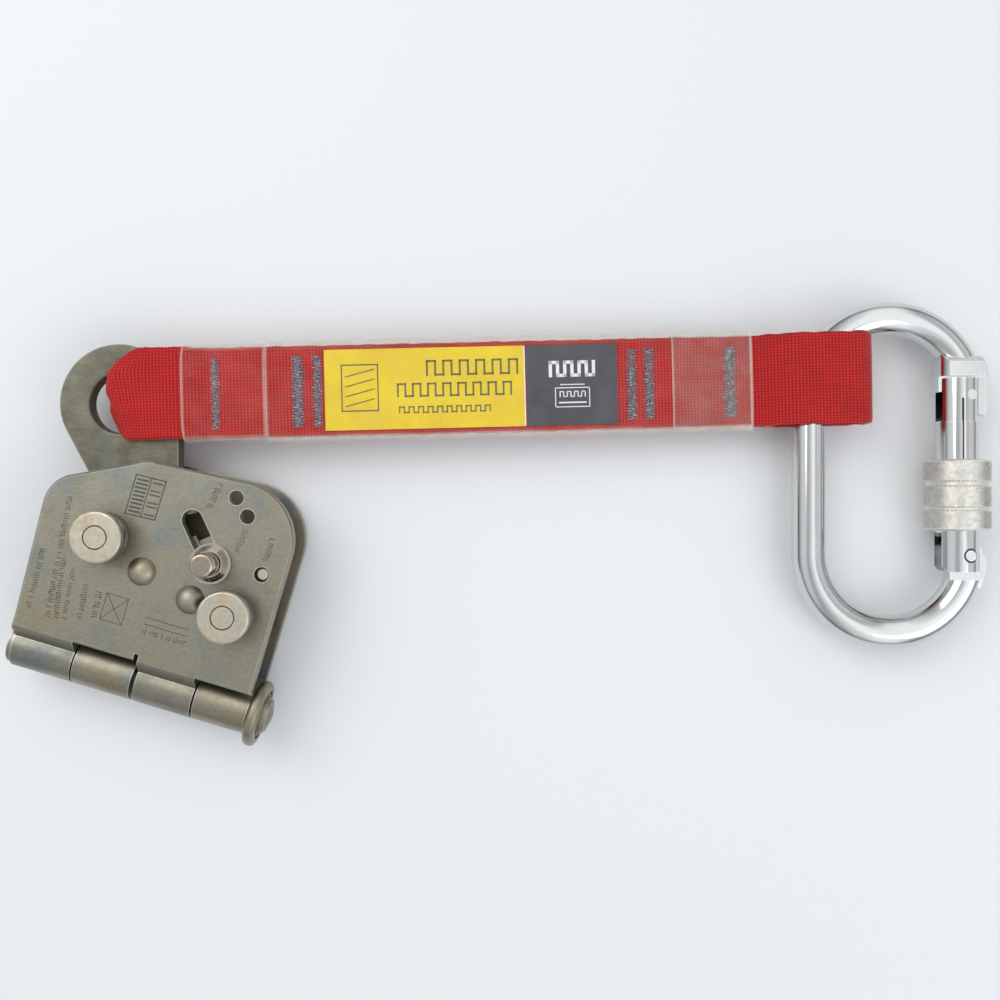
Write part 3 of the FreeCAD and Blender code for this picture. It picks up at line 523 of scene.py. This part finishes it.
laid = np.concatenate([laid, laid[:1]])                             # the last hoop meets the first
laid = np.concatenate([laid, laid[:, :1]], axis=1)                  # and each hoop meets itself
set_points(belt, laid.transpose(1, 0, 2).reshape(-1, 3))
clean(belt)
print("belt points:", len(belt.data.vertices))

# %% [markdown]
# ### The weave's colour and painted shade
#
# Dyed polyester yarn is saturated and slightly fuzzy, and each yarn differs a little. The
# colour also carries painted shade and highlight: it is darker in the valleys between ribs
# and lighter on the crowns, where they would catch the light. The grid brought a map
# with it that runs once round the belt and once round its section. Waves on that map run
# along the ribs and, once for every hoop, across them: finer than the modelled relief, and
# only roughly in step with it.

# %% Webbing finish
webbing = Finish("red_webbing", 0.0, 0.72)
uv = webbing.add("UVMap", uv_map=belt.data.uv_layers[0].name)
uv_split = webbing.add("SeparateXYZ", in_0=uv)
rib_turns = len(hoop) / RIB_POINTS
rib_wave = webbing.maths("SINE", webbing.maths("MULTIPLY", uv_split.outputs["Y"], 2 * math.pi * rib_turns))
pick_wave = webbing.maths("SINE", webbing.maths("MULTIPLY", uv_split.outputs["X"], 2 * math.pi * HOOPS))
cross = webbing.maths("MULTIPLY", rib_wave, pick_wave)
yarn_place = webbing.add("Mapping", in_Vector=uv, in_Scale=(belt_length, len(hoop) * 0.8, 1.0))
yarn = webbing.spots(yarn_place, 2.3, 3.0, 0.65)
patch_place = webbing.add("Mapping", in_Vector=uv, in_Scale=(belt_length * 0.06, 5.0, 1.0))
patchy = webbing.spots(patch_place, 1.6, 2.0)
ribs = webbing.maths("ADD", webbing.maths("MULTIPLY", rib_wave, 0.12),
                     webbing.maths("MULTIPLY", pick_wave, 0.14))
weave = webbing.maths("ADD", webbing.maths("ADD", ribs, webbing.maths("MULTIPLY", cross, 0.05)),
                      webbing.maths("MULTIPLY", yarn, 0.8))
# painted shade and highlight: the ramp darkens the valleys between ribs and picks and lightens the crowns;
# the yarn noise is the dye's own variation
colour = webbing.ramp(weave, (0.12, linear(112, 10, 15)), (0.42, linear(182, 24, 25)),
                      (0.75, linear(222, 54, 46)))
wear = webbing.ramp(patchy, (0.35, (0.78, 0.70, 0.72)), (0.65, (1.08, 1.05, 1.0)))
colour = webbing.blend(0.5, colour, wear, "MULTIPLY")
webbing.feed(colour, webbing.shader.inputs["Base Color"])
webbing.shader.inputs["Sheen Weight"].default_value = 0.25
webbing.shader.inputs["Sheen Roughness"].default_value = 0.4
webbing.shader.inputs["Specular IOR Level"].default_value = 0.35
webbing.add("Bump", "Normal", in_Strength=0.55, in_Distance=0.00025, in_Height=weave)
mount(belt, "webbing_belt", strap_board, "strap", webbing, ("webbing",), smooth=180)

# %% [markdown]
# ## Bar tacks
#
# Six bands of zigzag stitching lock the two layers together. One stitch is a short plump
# thread, so a small ball is stretched to its length and leaned over; its mirror image
# makes the zigzag, and an array repeats the pair across the strap. Copies go to the
# other bands and to the underside.

# %% Stitches
TACKS = ((28.7, 3.0), (53.8, 4.0), (59.8, 3.0), (155.6, 3.3), (161.0, 3.3), (185.8, 4.5))
TACK_WIDE = 21.5
TACK_PITCH = 0.86
THREAD_R = 0.27

thread = Finish("grey_thread", 0.0, 0.6)
thread_place = thread.add("TexCoord").outputs["Object"]
flecks = thread.spots(thread_place, 1500.0, 2.0, 0.7)
broad = thread.spots(thread_place, 260.0, 2.0)
tint = thread.ramp(flecks, (0.34, linear(62, 62, 72)), (0.52, linear(100, 104, 116)),
                   (0.70, linear(176, 180, 188)))
tint = thread.blend(thread.ramp(broad, (0.5, 0.0), (0.7, 0.5)), tint, (*linear(150, 60, 64), 1))
thread.feed(tint, thread.shader.inputs["Base Color"])
thread.add("Bump", "Normal", in_Strength=0.5, in_Distance=0.0001, in_Height=flecks)


def stitch(length, lean):
    """One leg of the zigzag, leaning one way."""
    bpy.ops.mesh.primitive_uv_sphere_add(segments=6, ring_count=5, radius=1)
    leg = bpy.context.object
    leg.scale = (length / 2, THREAD_R, THREAD_R * 0.85)
    leg.rotation_euler = (0, 0, lean)
    only(leg)
    bpy.ops.object.transform_apply(location=False, rotation=True, scale=True)
    return leg


def tack(x, width, side):
    """A whole band on the top (side 1) or the underside (side -1)."""
    lean = math.atan2(TACK_PITCH / 2, width)
    length = math.hypot(width, TACK_PITCH / 2) + 0.3
    first, second = stitch(length, lean), stitch(length, -lean)
    second.location.y = TACK_PITCH / 2
    pair = joined([first, second])
    repeats = int(TACK_WIDE / TACK_PITCH)
    modify(pair, "ARRAY", count=repeats, use_relative_offset=False, use_constant_offset=True,
           constant_offset_displace=(0, TACK_PITCH, 0))
    points = points_of(pair)
    points[:, 1] += STRAP_Y - TACK_WIDE / 2
    points[:, 0] += x + 0.22 * np.sin(points[:, 1] * 2.1 + x)
    slope = np.array([strap_level(v) for v in points[:, 0]])
    points[:, 2] += slope + side * (2.5 + 0.12) + 0.05 * np.sin(points[:, 1] * 5.0)
    set_points(pair, points)
    return pair


threads = joined([tack(x, width, side) for x, width in TACKS for side in (1, -1)])
mount(threads, "bar_tacks", strap_board, "strap", thread, ("stitching",), smooth=60)

# %% [markdown]
# ## Clear plastic sleeves
#
# Three flat tubes of soft clear PVC slide over the strap and keep the labels clean. Each
# is an outline drawn out along the strap, so a circle is squared off into a flat oval,
# extruded station by station, gently waved, and given its film's thickness. The film is
# made paler and more opaque along its side edges and end rims, as a painted reflection of
# the film where it turns at a grazing angle; one sleeve gets an even fog on top. This is
# painted as an attribute, and the finish reads it and adds a faint mottled cloudiness.

# %% Sleeves
film = Finish("clear_pvc", 0.0, 0.18)
# painted reflection: this attribute is high along the film's side edges and end rims, where the film turns at
# a grazing angle; on one sleeve it also holds an even fog
edge_sheen_and_fog = film.add("Attribute", attribute_name="edge_sheen_and_fog").outputs["Fac"]
film_place = film.add("TexCoord").outputs["Object"]
mottle = film.spots(film_place, 160.0, 3.0)
film_alpha = film.maths("ADD", film.maths("MULTIPLY", edge_sheen_and_fog, 0.27), film.maths("MULTIPLY", mottle, 0.035))
film.feed(film_alpha, film.shader.inputs["Alpha"])
film.feed(film.ramp(mottle, (0.35, linear(234, 224, 208)), (0.65, linear(244, 238, 230))),
          film.shader.inputs["Base Color"])
film.add("Bump", "Normal", in_Strength=0.25, in_Distance=0.0004, in_Height=mottle)

SLEEVE_ROUND = 40
RIM = 0.8


def flat_tube(name, span, half_high, half_wide, thick, flare=0.0, fog=0.0):
    """Flat tube round the strap between two stations."""
    bpy.ops.mesh.primitive_circle_add(vertices=SLEEVE_ROUND, radius=1, fill_type="NOTHING",
                                      rotation=(math.pi / 2, 0, math.pi / 2))
    tube = bpy.context.object
    bpy.ops.object.transform_apply(location=False, rotation=True, scale=False)
    bpy.ops.object.mode_set(mode="EDIT")
    bpy.ops.mesh.select_all(action="SELECT")
    stations = max(6, int((span[1] - span[0]) / 3.0))
    step = (span[1] - span[0]) / stations
    for _ in range(stations):
        bpy.ops.mesh.extrude_region_move(TRANSFORM_OT_translate={"value": (step, 0, 0)})
    bpy.ops.object.mode_set(mode="OBJECT")
    points = points_of(tube)
    x, y, z = points[:, 0] + span[0], points[:, 1], points[:, 2]
    x = np.where(np.abs(x - span[0] - step) < 0.01, span[0] + RIM, x)       # narrow rims at both ends
    x = np.where(np.abs(x - span[1] + step) < 0.01, span[1] - RIM, x)
    square = np.sign(y) * np.abs(y) ** 0.45
    tall = np.sign(z) * np.abs(z) ** 0.42
    level = np.array([strap_level(v) for v in x])
    ends = np.clip(1 - np.minimum(x - span[0], span[1] - x) / 2.0, 0, 1)
    opening = flare * np.clip((DOUBLE_FROM + 0.5 - x) / 7.6, 0, 1)
    ripple = 0.14 * np.sin(x * 0.16 + y) + 0.08 * np.sin(x * 0.45 + 2 * y)
    high = half_high + opening + 0.12 * ends
    laid = np.column_stack([x, STRAP_Y + square * (half_wide + ripple * 0.8),
                            level + tall * high + ripple * 0.35 * (np.abs(y) < 0.9)])
    set_points(tube, laid)
    at_rim = np.minimum(np.abs(x - span[0]), np.abs(x - span[1])) < 0.01
    # painted reflection at the side edges and end rims, plus any fog
    paint = np.clip((np.abs(square) * half_wide - 13.3) / 0.7, 0, 1) * 0.8 + 0.9 * at_rim + fog
    layer = tube.data.attributes.new("edge_sheen_and_fog", "FLOAT", "POINT")
    layer.data.foreach_set("value", np.clip(paint, 0, 1).astype(np.float32))
    clean(tube)
    modify(tube, "SOLIDIFY", thickness=thick, offset=-1)
    return mount(tube, name, strap_board, "strap", film, (name.replace("_film", ""),), smooth=50)


flat_tube("left_sleeve_film", (19.9, 44.0), 3.6, 15.0, 0.4, flare=4.0)
flat_tube("long_sleeve_film", (44.3, 192.5), 4.1, 15.6, 0.45)
flat_tube("right_sleeve_film", (168.0, 192.3), 3.5, 14.6, 0.4, fog=0.08)

# %% [markdown]
# ## Labels and their print
#
# Two cards lie under the clear sleeve, one yellow and one dark grey. The cards are CAD
# nodes and only need a printed finish. The print on them is plain: a hatched frame and
# meander lines where a maker would set its own words. A meander is one strip
# that steps up and down, so flat strokes are laid end to end and given ink thickness.

# %% Card finishes
def card(name, tone, dark):
    f = Finish(name, 0.0, 0.42)
    where = f.add("TexCoord").outputs["Object"]
    dust = f.spots(where, 70.0, 4.0)
    fibre = f.spots(where, 1400.0, 2.0)
    base = f.ramp(dust, (0.35, dark), (0.65, tone))
    base = f.blend(0.5, base, f.ramp(fibre, (0.3, 0.88), (0.7, 1.06)), "MULTIPLY")
    f.feed(base, f.shader.inputs["Base Color"])
    f.add("Bump", "Normal", in_Strength=0.15, in_Distance=0.0002, in_Height=dust)
    return f


yellow_card = card("yellow_card", linear(234, 204, 4), linear(222, 188, 2))
grey_card = card("grey_card", linear(66, 68, 76), linear(54, 56, 64))
grey_ink = card("grey_ink", linear(112, 110, 62), linear(92, 92, 56))
white_ink = card("white_ink", linear(240, 240, 240), linear(220, 222, 224))
etched = card("etched_mark", linear(84, 80, 68), linear(58, 54, 46))
cover(yellow_card, "instruction_label")
cover(grey_card, "rating_label")


# %% Print strokes
def stroke(start, end, width):
    """Flat stroke between two points of a drawing."""
    a, b = Vector(start), Vector(end)
    way = b - a
    bpy.ops.mesh.primitive_plane_add(size=1, location=((a + b) / 2).to_3d())
    piece = bpy.context.object
    piece.scale = (way.length + width, width, 1)
    piece.rotation_euler = (0, 0, math.atan2(way.y, way.x))
    only(piece)
    bpy.ops.object.transform_apply(location=True, rotation=True, scale=True)
    return piece


def polyline(points, width, closed=False):
    pairs = list(zip(points, points[1:])) + ([(points[-1], points[0])] if closed else [])
    return [stroke(a, b, width) for a, b in pairs]


def meander(start, end, tall, width, pitch):
    """Square wave from start to end, as a stand-in for a line of words."""
    a, b = Vector(start), Vector(end)
    way = (b - a).normalized()
    up = Vector((-way.y, way.x)) * tall / 2
    points, side = [], 1
    steps = int((b - a).length / pitch)
    for i in range(steps + 1):
        here = a + way * pitch * i
        points += [here - up * side, here + up * side]
        side = -side
    return polyline([tuple(p) for p in points], width)


def printed(strokes, name, place, body, finish, lift, thick):
    """Joins strokes, gives them thickness and lifts them on to a surface."""
    piece = joined(strokes)
    modify(piece, "SOLIDIFY", thickness=thick, offset=0)
    points = points_of(piece)
    points[:, 2] += lift(points[:, 0])
    set_points(piece, points)
    return mount(piece, name, place, body, finish, smooth=None)


def on_card(x):
    return np.array([strap_level(v) for v in x]) + 2.5 + 0.3


ICON = 67.2
lines = polyline([(ICON, 10.0), (78.2, 10.0), (78.2, -4.0), (ICON, -4.0)], 0.42, closed=True)
for step in range(4):
    lines += polyline([(ICON + 1.2, -2.6 + step * 3.0), (77.0, -0.4 + step * 3.0)], 0.36)
lines += meander((93.2, 8.6), (120.8, 8.6), 4.2, 0.62, 2.5)
lines += meander((84.2, 2.0), (120.8, 2.0), 3.7, 0.58, 2.3)
lines += meander((84.6, -4.0), (112.8, -4.0), 1.7, 0.42, 1.45)
printed(lines, "yellow_print", strap_board, "strap", grey_ink, on_card, 0.06)

rating = meander((130.8, 7.4), (144.2, 7.4), 4.0, 1.0, 2.2)
rating += polyline([(132.2, 1.6), (142.6, 1.6), (142.6, -4.2), (132.2, -4.2)], 0.3, closed=True)
rating += meander((133.6, -0.3), (141.4, -0.3), 1.5, 0.34, 1.1)
rating += polyline([(133.4, -2.9), (141.4, -2.9)], 0.45) + polyline([(133.8, 2.6), (141.0, 2.6)], 0.3)
rating += polyline([(122.9, 14.4), (122.9, -9.4)], 0.35)
printed(rating, "white_print", strap_board, "strap", white_ink, on_card, 0.06)

# %% [markdown]
# ## Marks etched in the front plate
#
# The plate carries columns of small etched ticks, a hatched panel, a crossed box and two
# plain bars. They are drawn with the same flat strokes and stand for nothing in particular.

# %% Etched marks
PLATE_TOP = 24.5


def ticks(start, end, tall, seed):
    """Column of uneven ticks along a line."""
    a, b = Vector(start), Vector(end)
    way = (b - a).normalized()
    side = Vector((-way.y, way.x))
    draw = np.random.default_rng(seed)
    strokes, reach = [], 0.0
    while reach < (b - a).length:
        here = a + way * reach
        low, high = -tall / 2 * draw.uniform(0.5, 1), tall / 2 * draw.uniform(0.5, 1)
        strokes.append(stroke(here + side * low, here + side * high, 0.22))
        if draw.random() < 0.45:
            edge = side * (high if draw.random() < 0.5 else low)
            strokes.append(stroke(here + edge, here + edge + way * 0.5, 0.2))
        reach += 0.72 if draw.random() < 0.86 else 1.5
    return strokes


# each column: where it starts, where it ends, how tall its ticks are
COLUMNS = (((5.7, 41.0), (9.4, 5.0), 1.7),
           ((2.5, 24.0), (3.3, 5.8), 1.6),
           ((9.1, 23.0), (11.9, 5.1), 1.5),
           ((12.7, 20.8), (14.3, 5.6), 1.4),
           ((17.6, 17.4), (18.7, 6.9), 1.6),
           ((22.0, 16.5), (22.7, 8.9), 1.8),
           ((47.1, 57.3), (46.1, 49.4), 2.0),
           ((58.1, 46.2), (57.4, 39.6), 1.8),
           ((66.5, 46.2), (66.2, 39.3), 1.9),
           ((37.7, 9.2), (50.2, 9.2), 1.5))
marks = []
for seed, (start, end, tall) in enumerate(COLUMNS):
    marks += ticks(start, end, tall, seed)
marks += polyline([(22.6, 41.0), (31.6, 41.6), (31.6, 53.4), (22.6, 53.0)], 0.34, closed=True)
marks += polyline([(27.3, 41.6), (27.3, 53.0)], 0.3)
for row in range(9):
    marks += polyline([(23.5, 42.2 + row * 1.2), (26.5, 42.4 + row * 1.2)], 0.55)
    if row % 3 != 1:
        marks += polyline([(28.1, 42.4 + row * 1.2), (30.9, 42.6 + row * 1.2)], 0.42)
marks += polyline([(24.4, 9.0), (31.0, 9.0), (31.0, 17.0), (24.4, 17.0)], 0.2, closed=True)
marks += polyline([(24.4, 9.0), (31.0, 17.0)], 0.2) + polyline([(24.4, 17.0), (31.0, 9.0)], 0.2)
for level in (11.4, 13.4):
    marks += polyline([(37.4, level), (50.4, level)], 0.22)
printed(marks, "etched_marks", box_board, "cover", etched,
        lambda x: PLATE_TOP + 0 * x, 0.04)

# %% [markdown]
# ## Wave springs
#
# Under each button cap sits a wave spring: a few thin flat rings whose crests touch. One
# ring is a torus with four points in its section, flattened to a strip and waved;
# the next rings are turned so that crest meets trough.

# %% Springs
RINGS = 5
SPRING_LOW, SPRING_HIGH = 27.15, 30.75
SPRING_R = 6.05
for number, centre in ((1, BUTTON_1), (2, BUTTON_2)):
    rings = []
    gap = (SPRING_HIGH - SPRING_LOW) / RINGS
    for level in range(RINGS):
        bpy.ops.mesh.primitive_torus_add(major_segments=96, minor_segments=4,
                                         major_radius=SPRING_R, minor_radius=0.5)
        ring = bpy.context.object
        points = points_of(ring)
        angle = np.arctan2(points[:, 1], points[:, 0])
        radius = np.hypot(points[:, 0], points[:, 1])
        radius = SPRING_R + (radius - SPRING_R) * 2.0
        flat = points[:, 2] * 0.22
        bump = gap * 0.34 * np.sin(4 * angle + math.pi * level)
        height = SPRING_LOW + gap * (level + 0.5) + flat + bump
        set_points(ring, np.column_stack([centre.x + radius * np.cos(angle),
                                          centre.y + radius * np.sin(angle), height]))
        rings.append(ring)
    stack = joined(rings)
    mount(stack, f"wave_spring_{number}", box_board, "cover", straw_steel,
          (f"button_spring_{number}",), smooth=50)
    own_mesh(stack)

# %% [markdown]
# ## Grime round the button pins
#
# Each pin is riveted into its cap, and brown grime has settled in the joint. It shows as
# a thin uneven ring, so a fine torus is flattened and its width varied a little.

# %% Pin joints
PIN_R = 3.42
CAP_TOP = 33.0
grime = steel("brown_grime", linear(92, 74, 54), linear(120, 92, 62), linear(70, 60, 50), 0.7, metal=0.2,
              edge=linear(96, 70, 48))
for number, centre in ((1, BUTTON_1), (2, BUTTON_2)):
    bpy.ops.mesh.primitive_torus_add(major_segments=72, minor_segments=6, major_radius=PIN_R,
                                     minor_radius=0.17)
    ring = bpy.context.object
    points = points_of(ring)
    angle = np.arctan2(points[:, 1], points[:, 0])
    radius = np.hypot(points[:, 0], points[:, 1])
    uneven = 1.0 + 0.35 * np.sin(3 * angle + number) * np.sin(7 * angle)
    radius = PIN_R + (radius - PIN_R) * uneven
    set_points(ring, np.column_stack([centre.x + radius * np.cos(angle),
                                      centre.y + radius * np.sin(angle),
                                      CAP_TOP + points[:, 2] * 0.25]))
    mount(ring, f"pin_joint_{number}", box_board, f"button_{number}", grime, smooth=60)

# %% [markdown]
# ## Knurled screw sleeve
#
# The hook's gate is locked by a turned sleeve whose grip is rolled with a diamond knurl
# in three bands, with two smooth grooves between them. A cylinder is cut into rings and
# every second point of every ring is pushed in, shifted from ring to ring, so the faces
# become small diamonds. The bands are drawn first, then the grooves and the ends.

# %% Screw sleeve
SLEEVE_R = 9.75
SLEEVE_LOW, SLEEVE_HIGH = -40.9, -19.2
GATE_X = 21.4
GROOVES = (0.34, 0.70)
AROUND = 96
ROWS = 44

bpy.ops.mesh.primitive_circle_add(vertices=AROUND, radius=SLEEVE_R, fill_type="NOTHING",
                                  rotation=(math.pi / 2, 0, 0))
sleeve = bpy.context.object
bpy.ops.object.transform_apply(location=False, rotation=True, scale=False)
bpy.ops.object.mode_set(mode="EDIT")
bpy.ops.mesh.select_all(action="SELECT")
row_step = (SLEEVE_HIGH - SLEEVE_LOW) / ROWS
for _ in range(ROWS):
    bpy.ops.mesh.extrude_region_move(TRANSFORM_OT_translate={"value": (0, row_step, 0)})
bpy.ops.object.mode_set(mode="OBJECT")
points = points_of(sleeve)
along = points[:, 1] / (SLEEVE_HIGH - SLEEVE_LOW)
angle = np.arctan2(points[:, 2], points[:, 0])
row = np.round(along * ROWS).astype(int)
column = np.round(angle / (2 * math.pi) * AROUND).astype(int)
diamond = np.where((row + column) % 2 == 0, 0.0, -0.36)
radius = SLEEVE_R + diamond
for share in GROOVES:
    depth = np.abs((1 - along) - share) * (SLEEVE_HIGH - SLEEVE_LOW)
    radius = np.where(depth < 0.55, SLEEVE_R - 0.55, radius)
rim = np.minimum(along, 1 - along) * (SLEEVE_HIGH - SLEEVE_LOW)
radius = np.where(rim < 0.3, SLEEVE_R - 0.75, np.where(rim < 0.8, SLEEVE_R - 0.15, radius))
set_points(sleeve, np.column_stack([GATE_X + radius * np.cos(angle), SLEEVE_LOW + points[:, 1],
                                    radius * np.sin(angle)]))
clean(sleeve)
modify(sleeve, "SOLIDIFY", thickness=0.75, offset=-1)


def end_ring(y, inner, outer):
    """Flat annular face that closes the sleeve's wall down to the gate."""
    bpy.ops.mesh.primitive_cylinder_add(vertices=AROUND, radius=outer, depth=0.9, location=(GATE_X, y, 0),
                                        rotation=(math.pi / 2, 0, 0), end_fill_type="NGON")
    ring = bpy.context.object
    bpy.ops.object.mode_set(mode="EDIT")
    bpy.ops.mesh.select_all(action="DESELECT")
    bpy.ops.mesh.select_mode(type="FACE")
    bpy.ops.object.mode_set(mode="OBJECT")
    for face in ring.data.polygons:
        face.select = len(face.vertices) > 4
    bpy.ops.object.mode_set(mode="EDIT")
    bpy.ops.mesh.inset(thickness=outer - inner, depth=0)
    bpy.ops.mesh.bridge_edge_loops()
    bpy.ops.object.mode_set(mode="OBJECT")
    return ring


lip = end_ring(SLEEVE_LOW + 1.3, 6.5, SLEEVE_R - 0.9)
sleeve = joined([sleeve, lip])
mount(sleeve, "knurled_sleeve", hook_board, "screw_sleeve", matt_zinc,
      ("screw_sleeve",), smooth=22)

# %% [markdown]
# ## Seam of the gate
#
# The gate is rolled from sheet, and its open seam shows as a dark line along the tube. A
# narrow bar is laid along the tube at the seam's angle, rounded at its edges and sunk so
# that it shows as a slit.

# %% Gate seam
SEAM_ANGLE = 97.0
gate_low, gate_high = -41.0, -0.5
seam_r = 6.28
# painted shade: the bar's dark colour is the shade inside the open seam
bpy.ops.mesh.primitive_cube_add(size=1, location=(GATE_X + seam_r * math.cos(math.radians(SEAM_ANGLE)),
                                                  (gate_low + gate_high) / 2,
                                                  seam_r * math.sin(math.radians(SEAM_ANGLE)) - 0.04),
                                rotation=(0, math.radians(90 - SEAM_ANGLE), 0))
seam = bpy.context.object
seam.scale = (0.55, gate_high - gate_low, 0.36)
bpy.ops.object.transform_apply(location=True, rotation=True, scale=True)
modify(seam, "BEVEL", width=0.1, segments=2)
mount(seam, "gate_seam", hook_board, "gate", seam_shadow, smooth=40)

# %% [markdown]
# ## Edge of the gate's rivet
#
# The rivet that the gate turns on is ground flush, so only a thin dark joint shows round
# it. The same kind of fine ring as on the buttons marks it, laid on the gate's round back.

# %% Rivet joint
RIVET_X, RIVET_Y = 23.0, -48.5
GATE_R = 6.4
bpy.ops.mesh.primitive_torus_add(major_segments=48, minor_segments=6, major_radius=1.95, minor_radius=0.28)
ring = bpy.context.object
points = points_of(ring)
points[:, 0] += RIVET_X
points[:, 1] += RIVET_Y
points[:, 2] = np.sqrt(GATE_R ** 2 - (points[:, 0] - GATE_X) ** 2) + points[:, 2] * 0.3
set_points(ring, points)
mount(ring, "rivet_joint", hook_board, "gate", seam_shadow, smooth=60)

# %% [markdown]
# ## Floor
#
# A plain pale table, a little larger than the widest view. It isn't part of the object.

# %% Floor
bpy.ops.mesh.primitive_plane_add(size=6, location=(0, 0, -0.0002))
floor = bpy.context.object
floor.name = "table_top"
table = Finish("pale_table", 0.0, 0.6)
table.shader.inputs["Base Color"].default_value = (*linear(229, 232, 234), 1)
table.shader.inputs["Specular IOR Level"].default_value = 0.2
floor.data.materials.append(table.material)
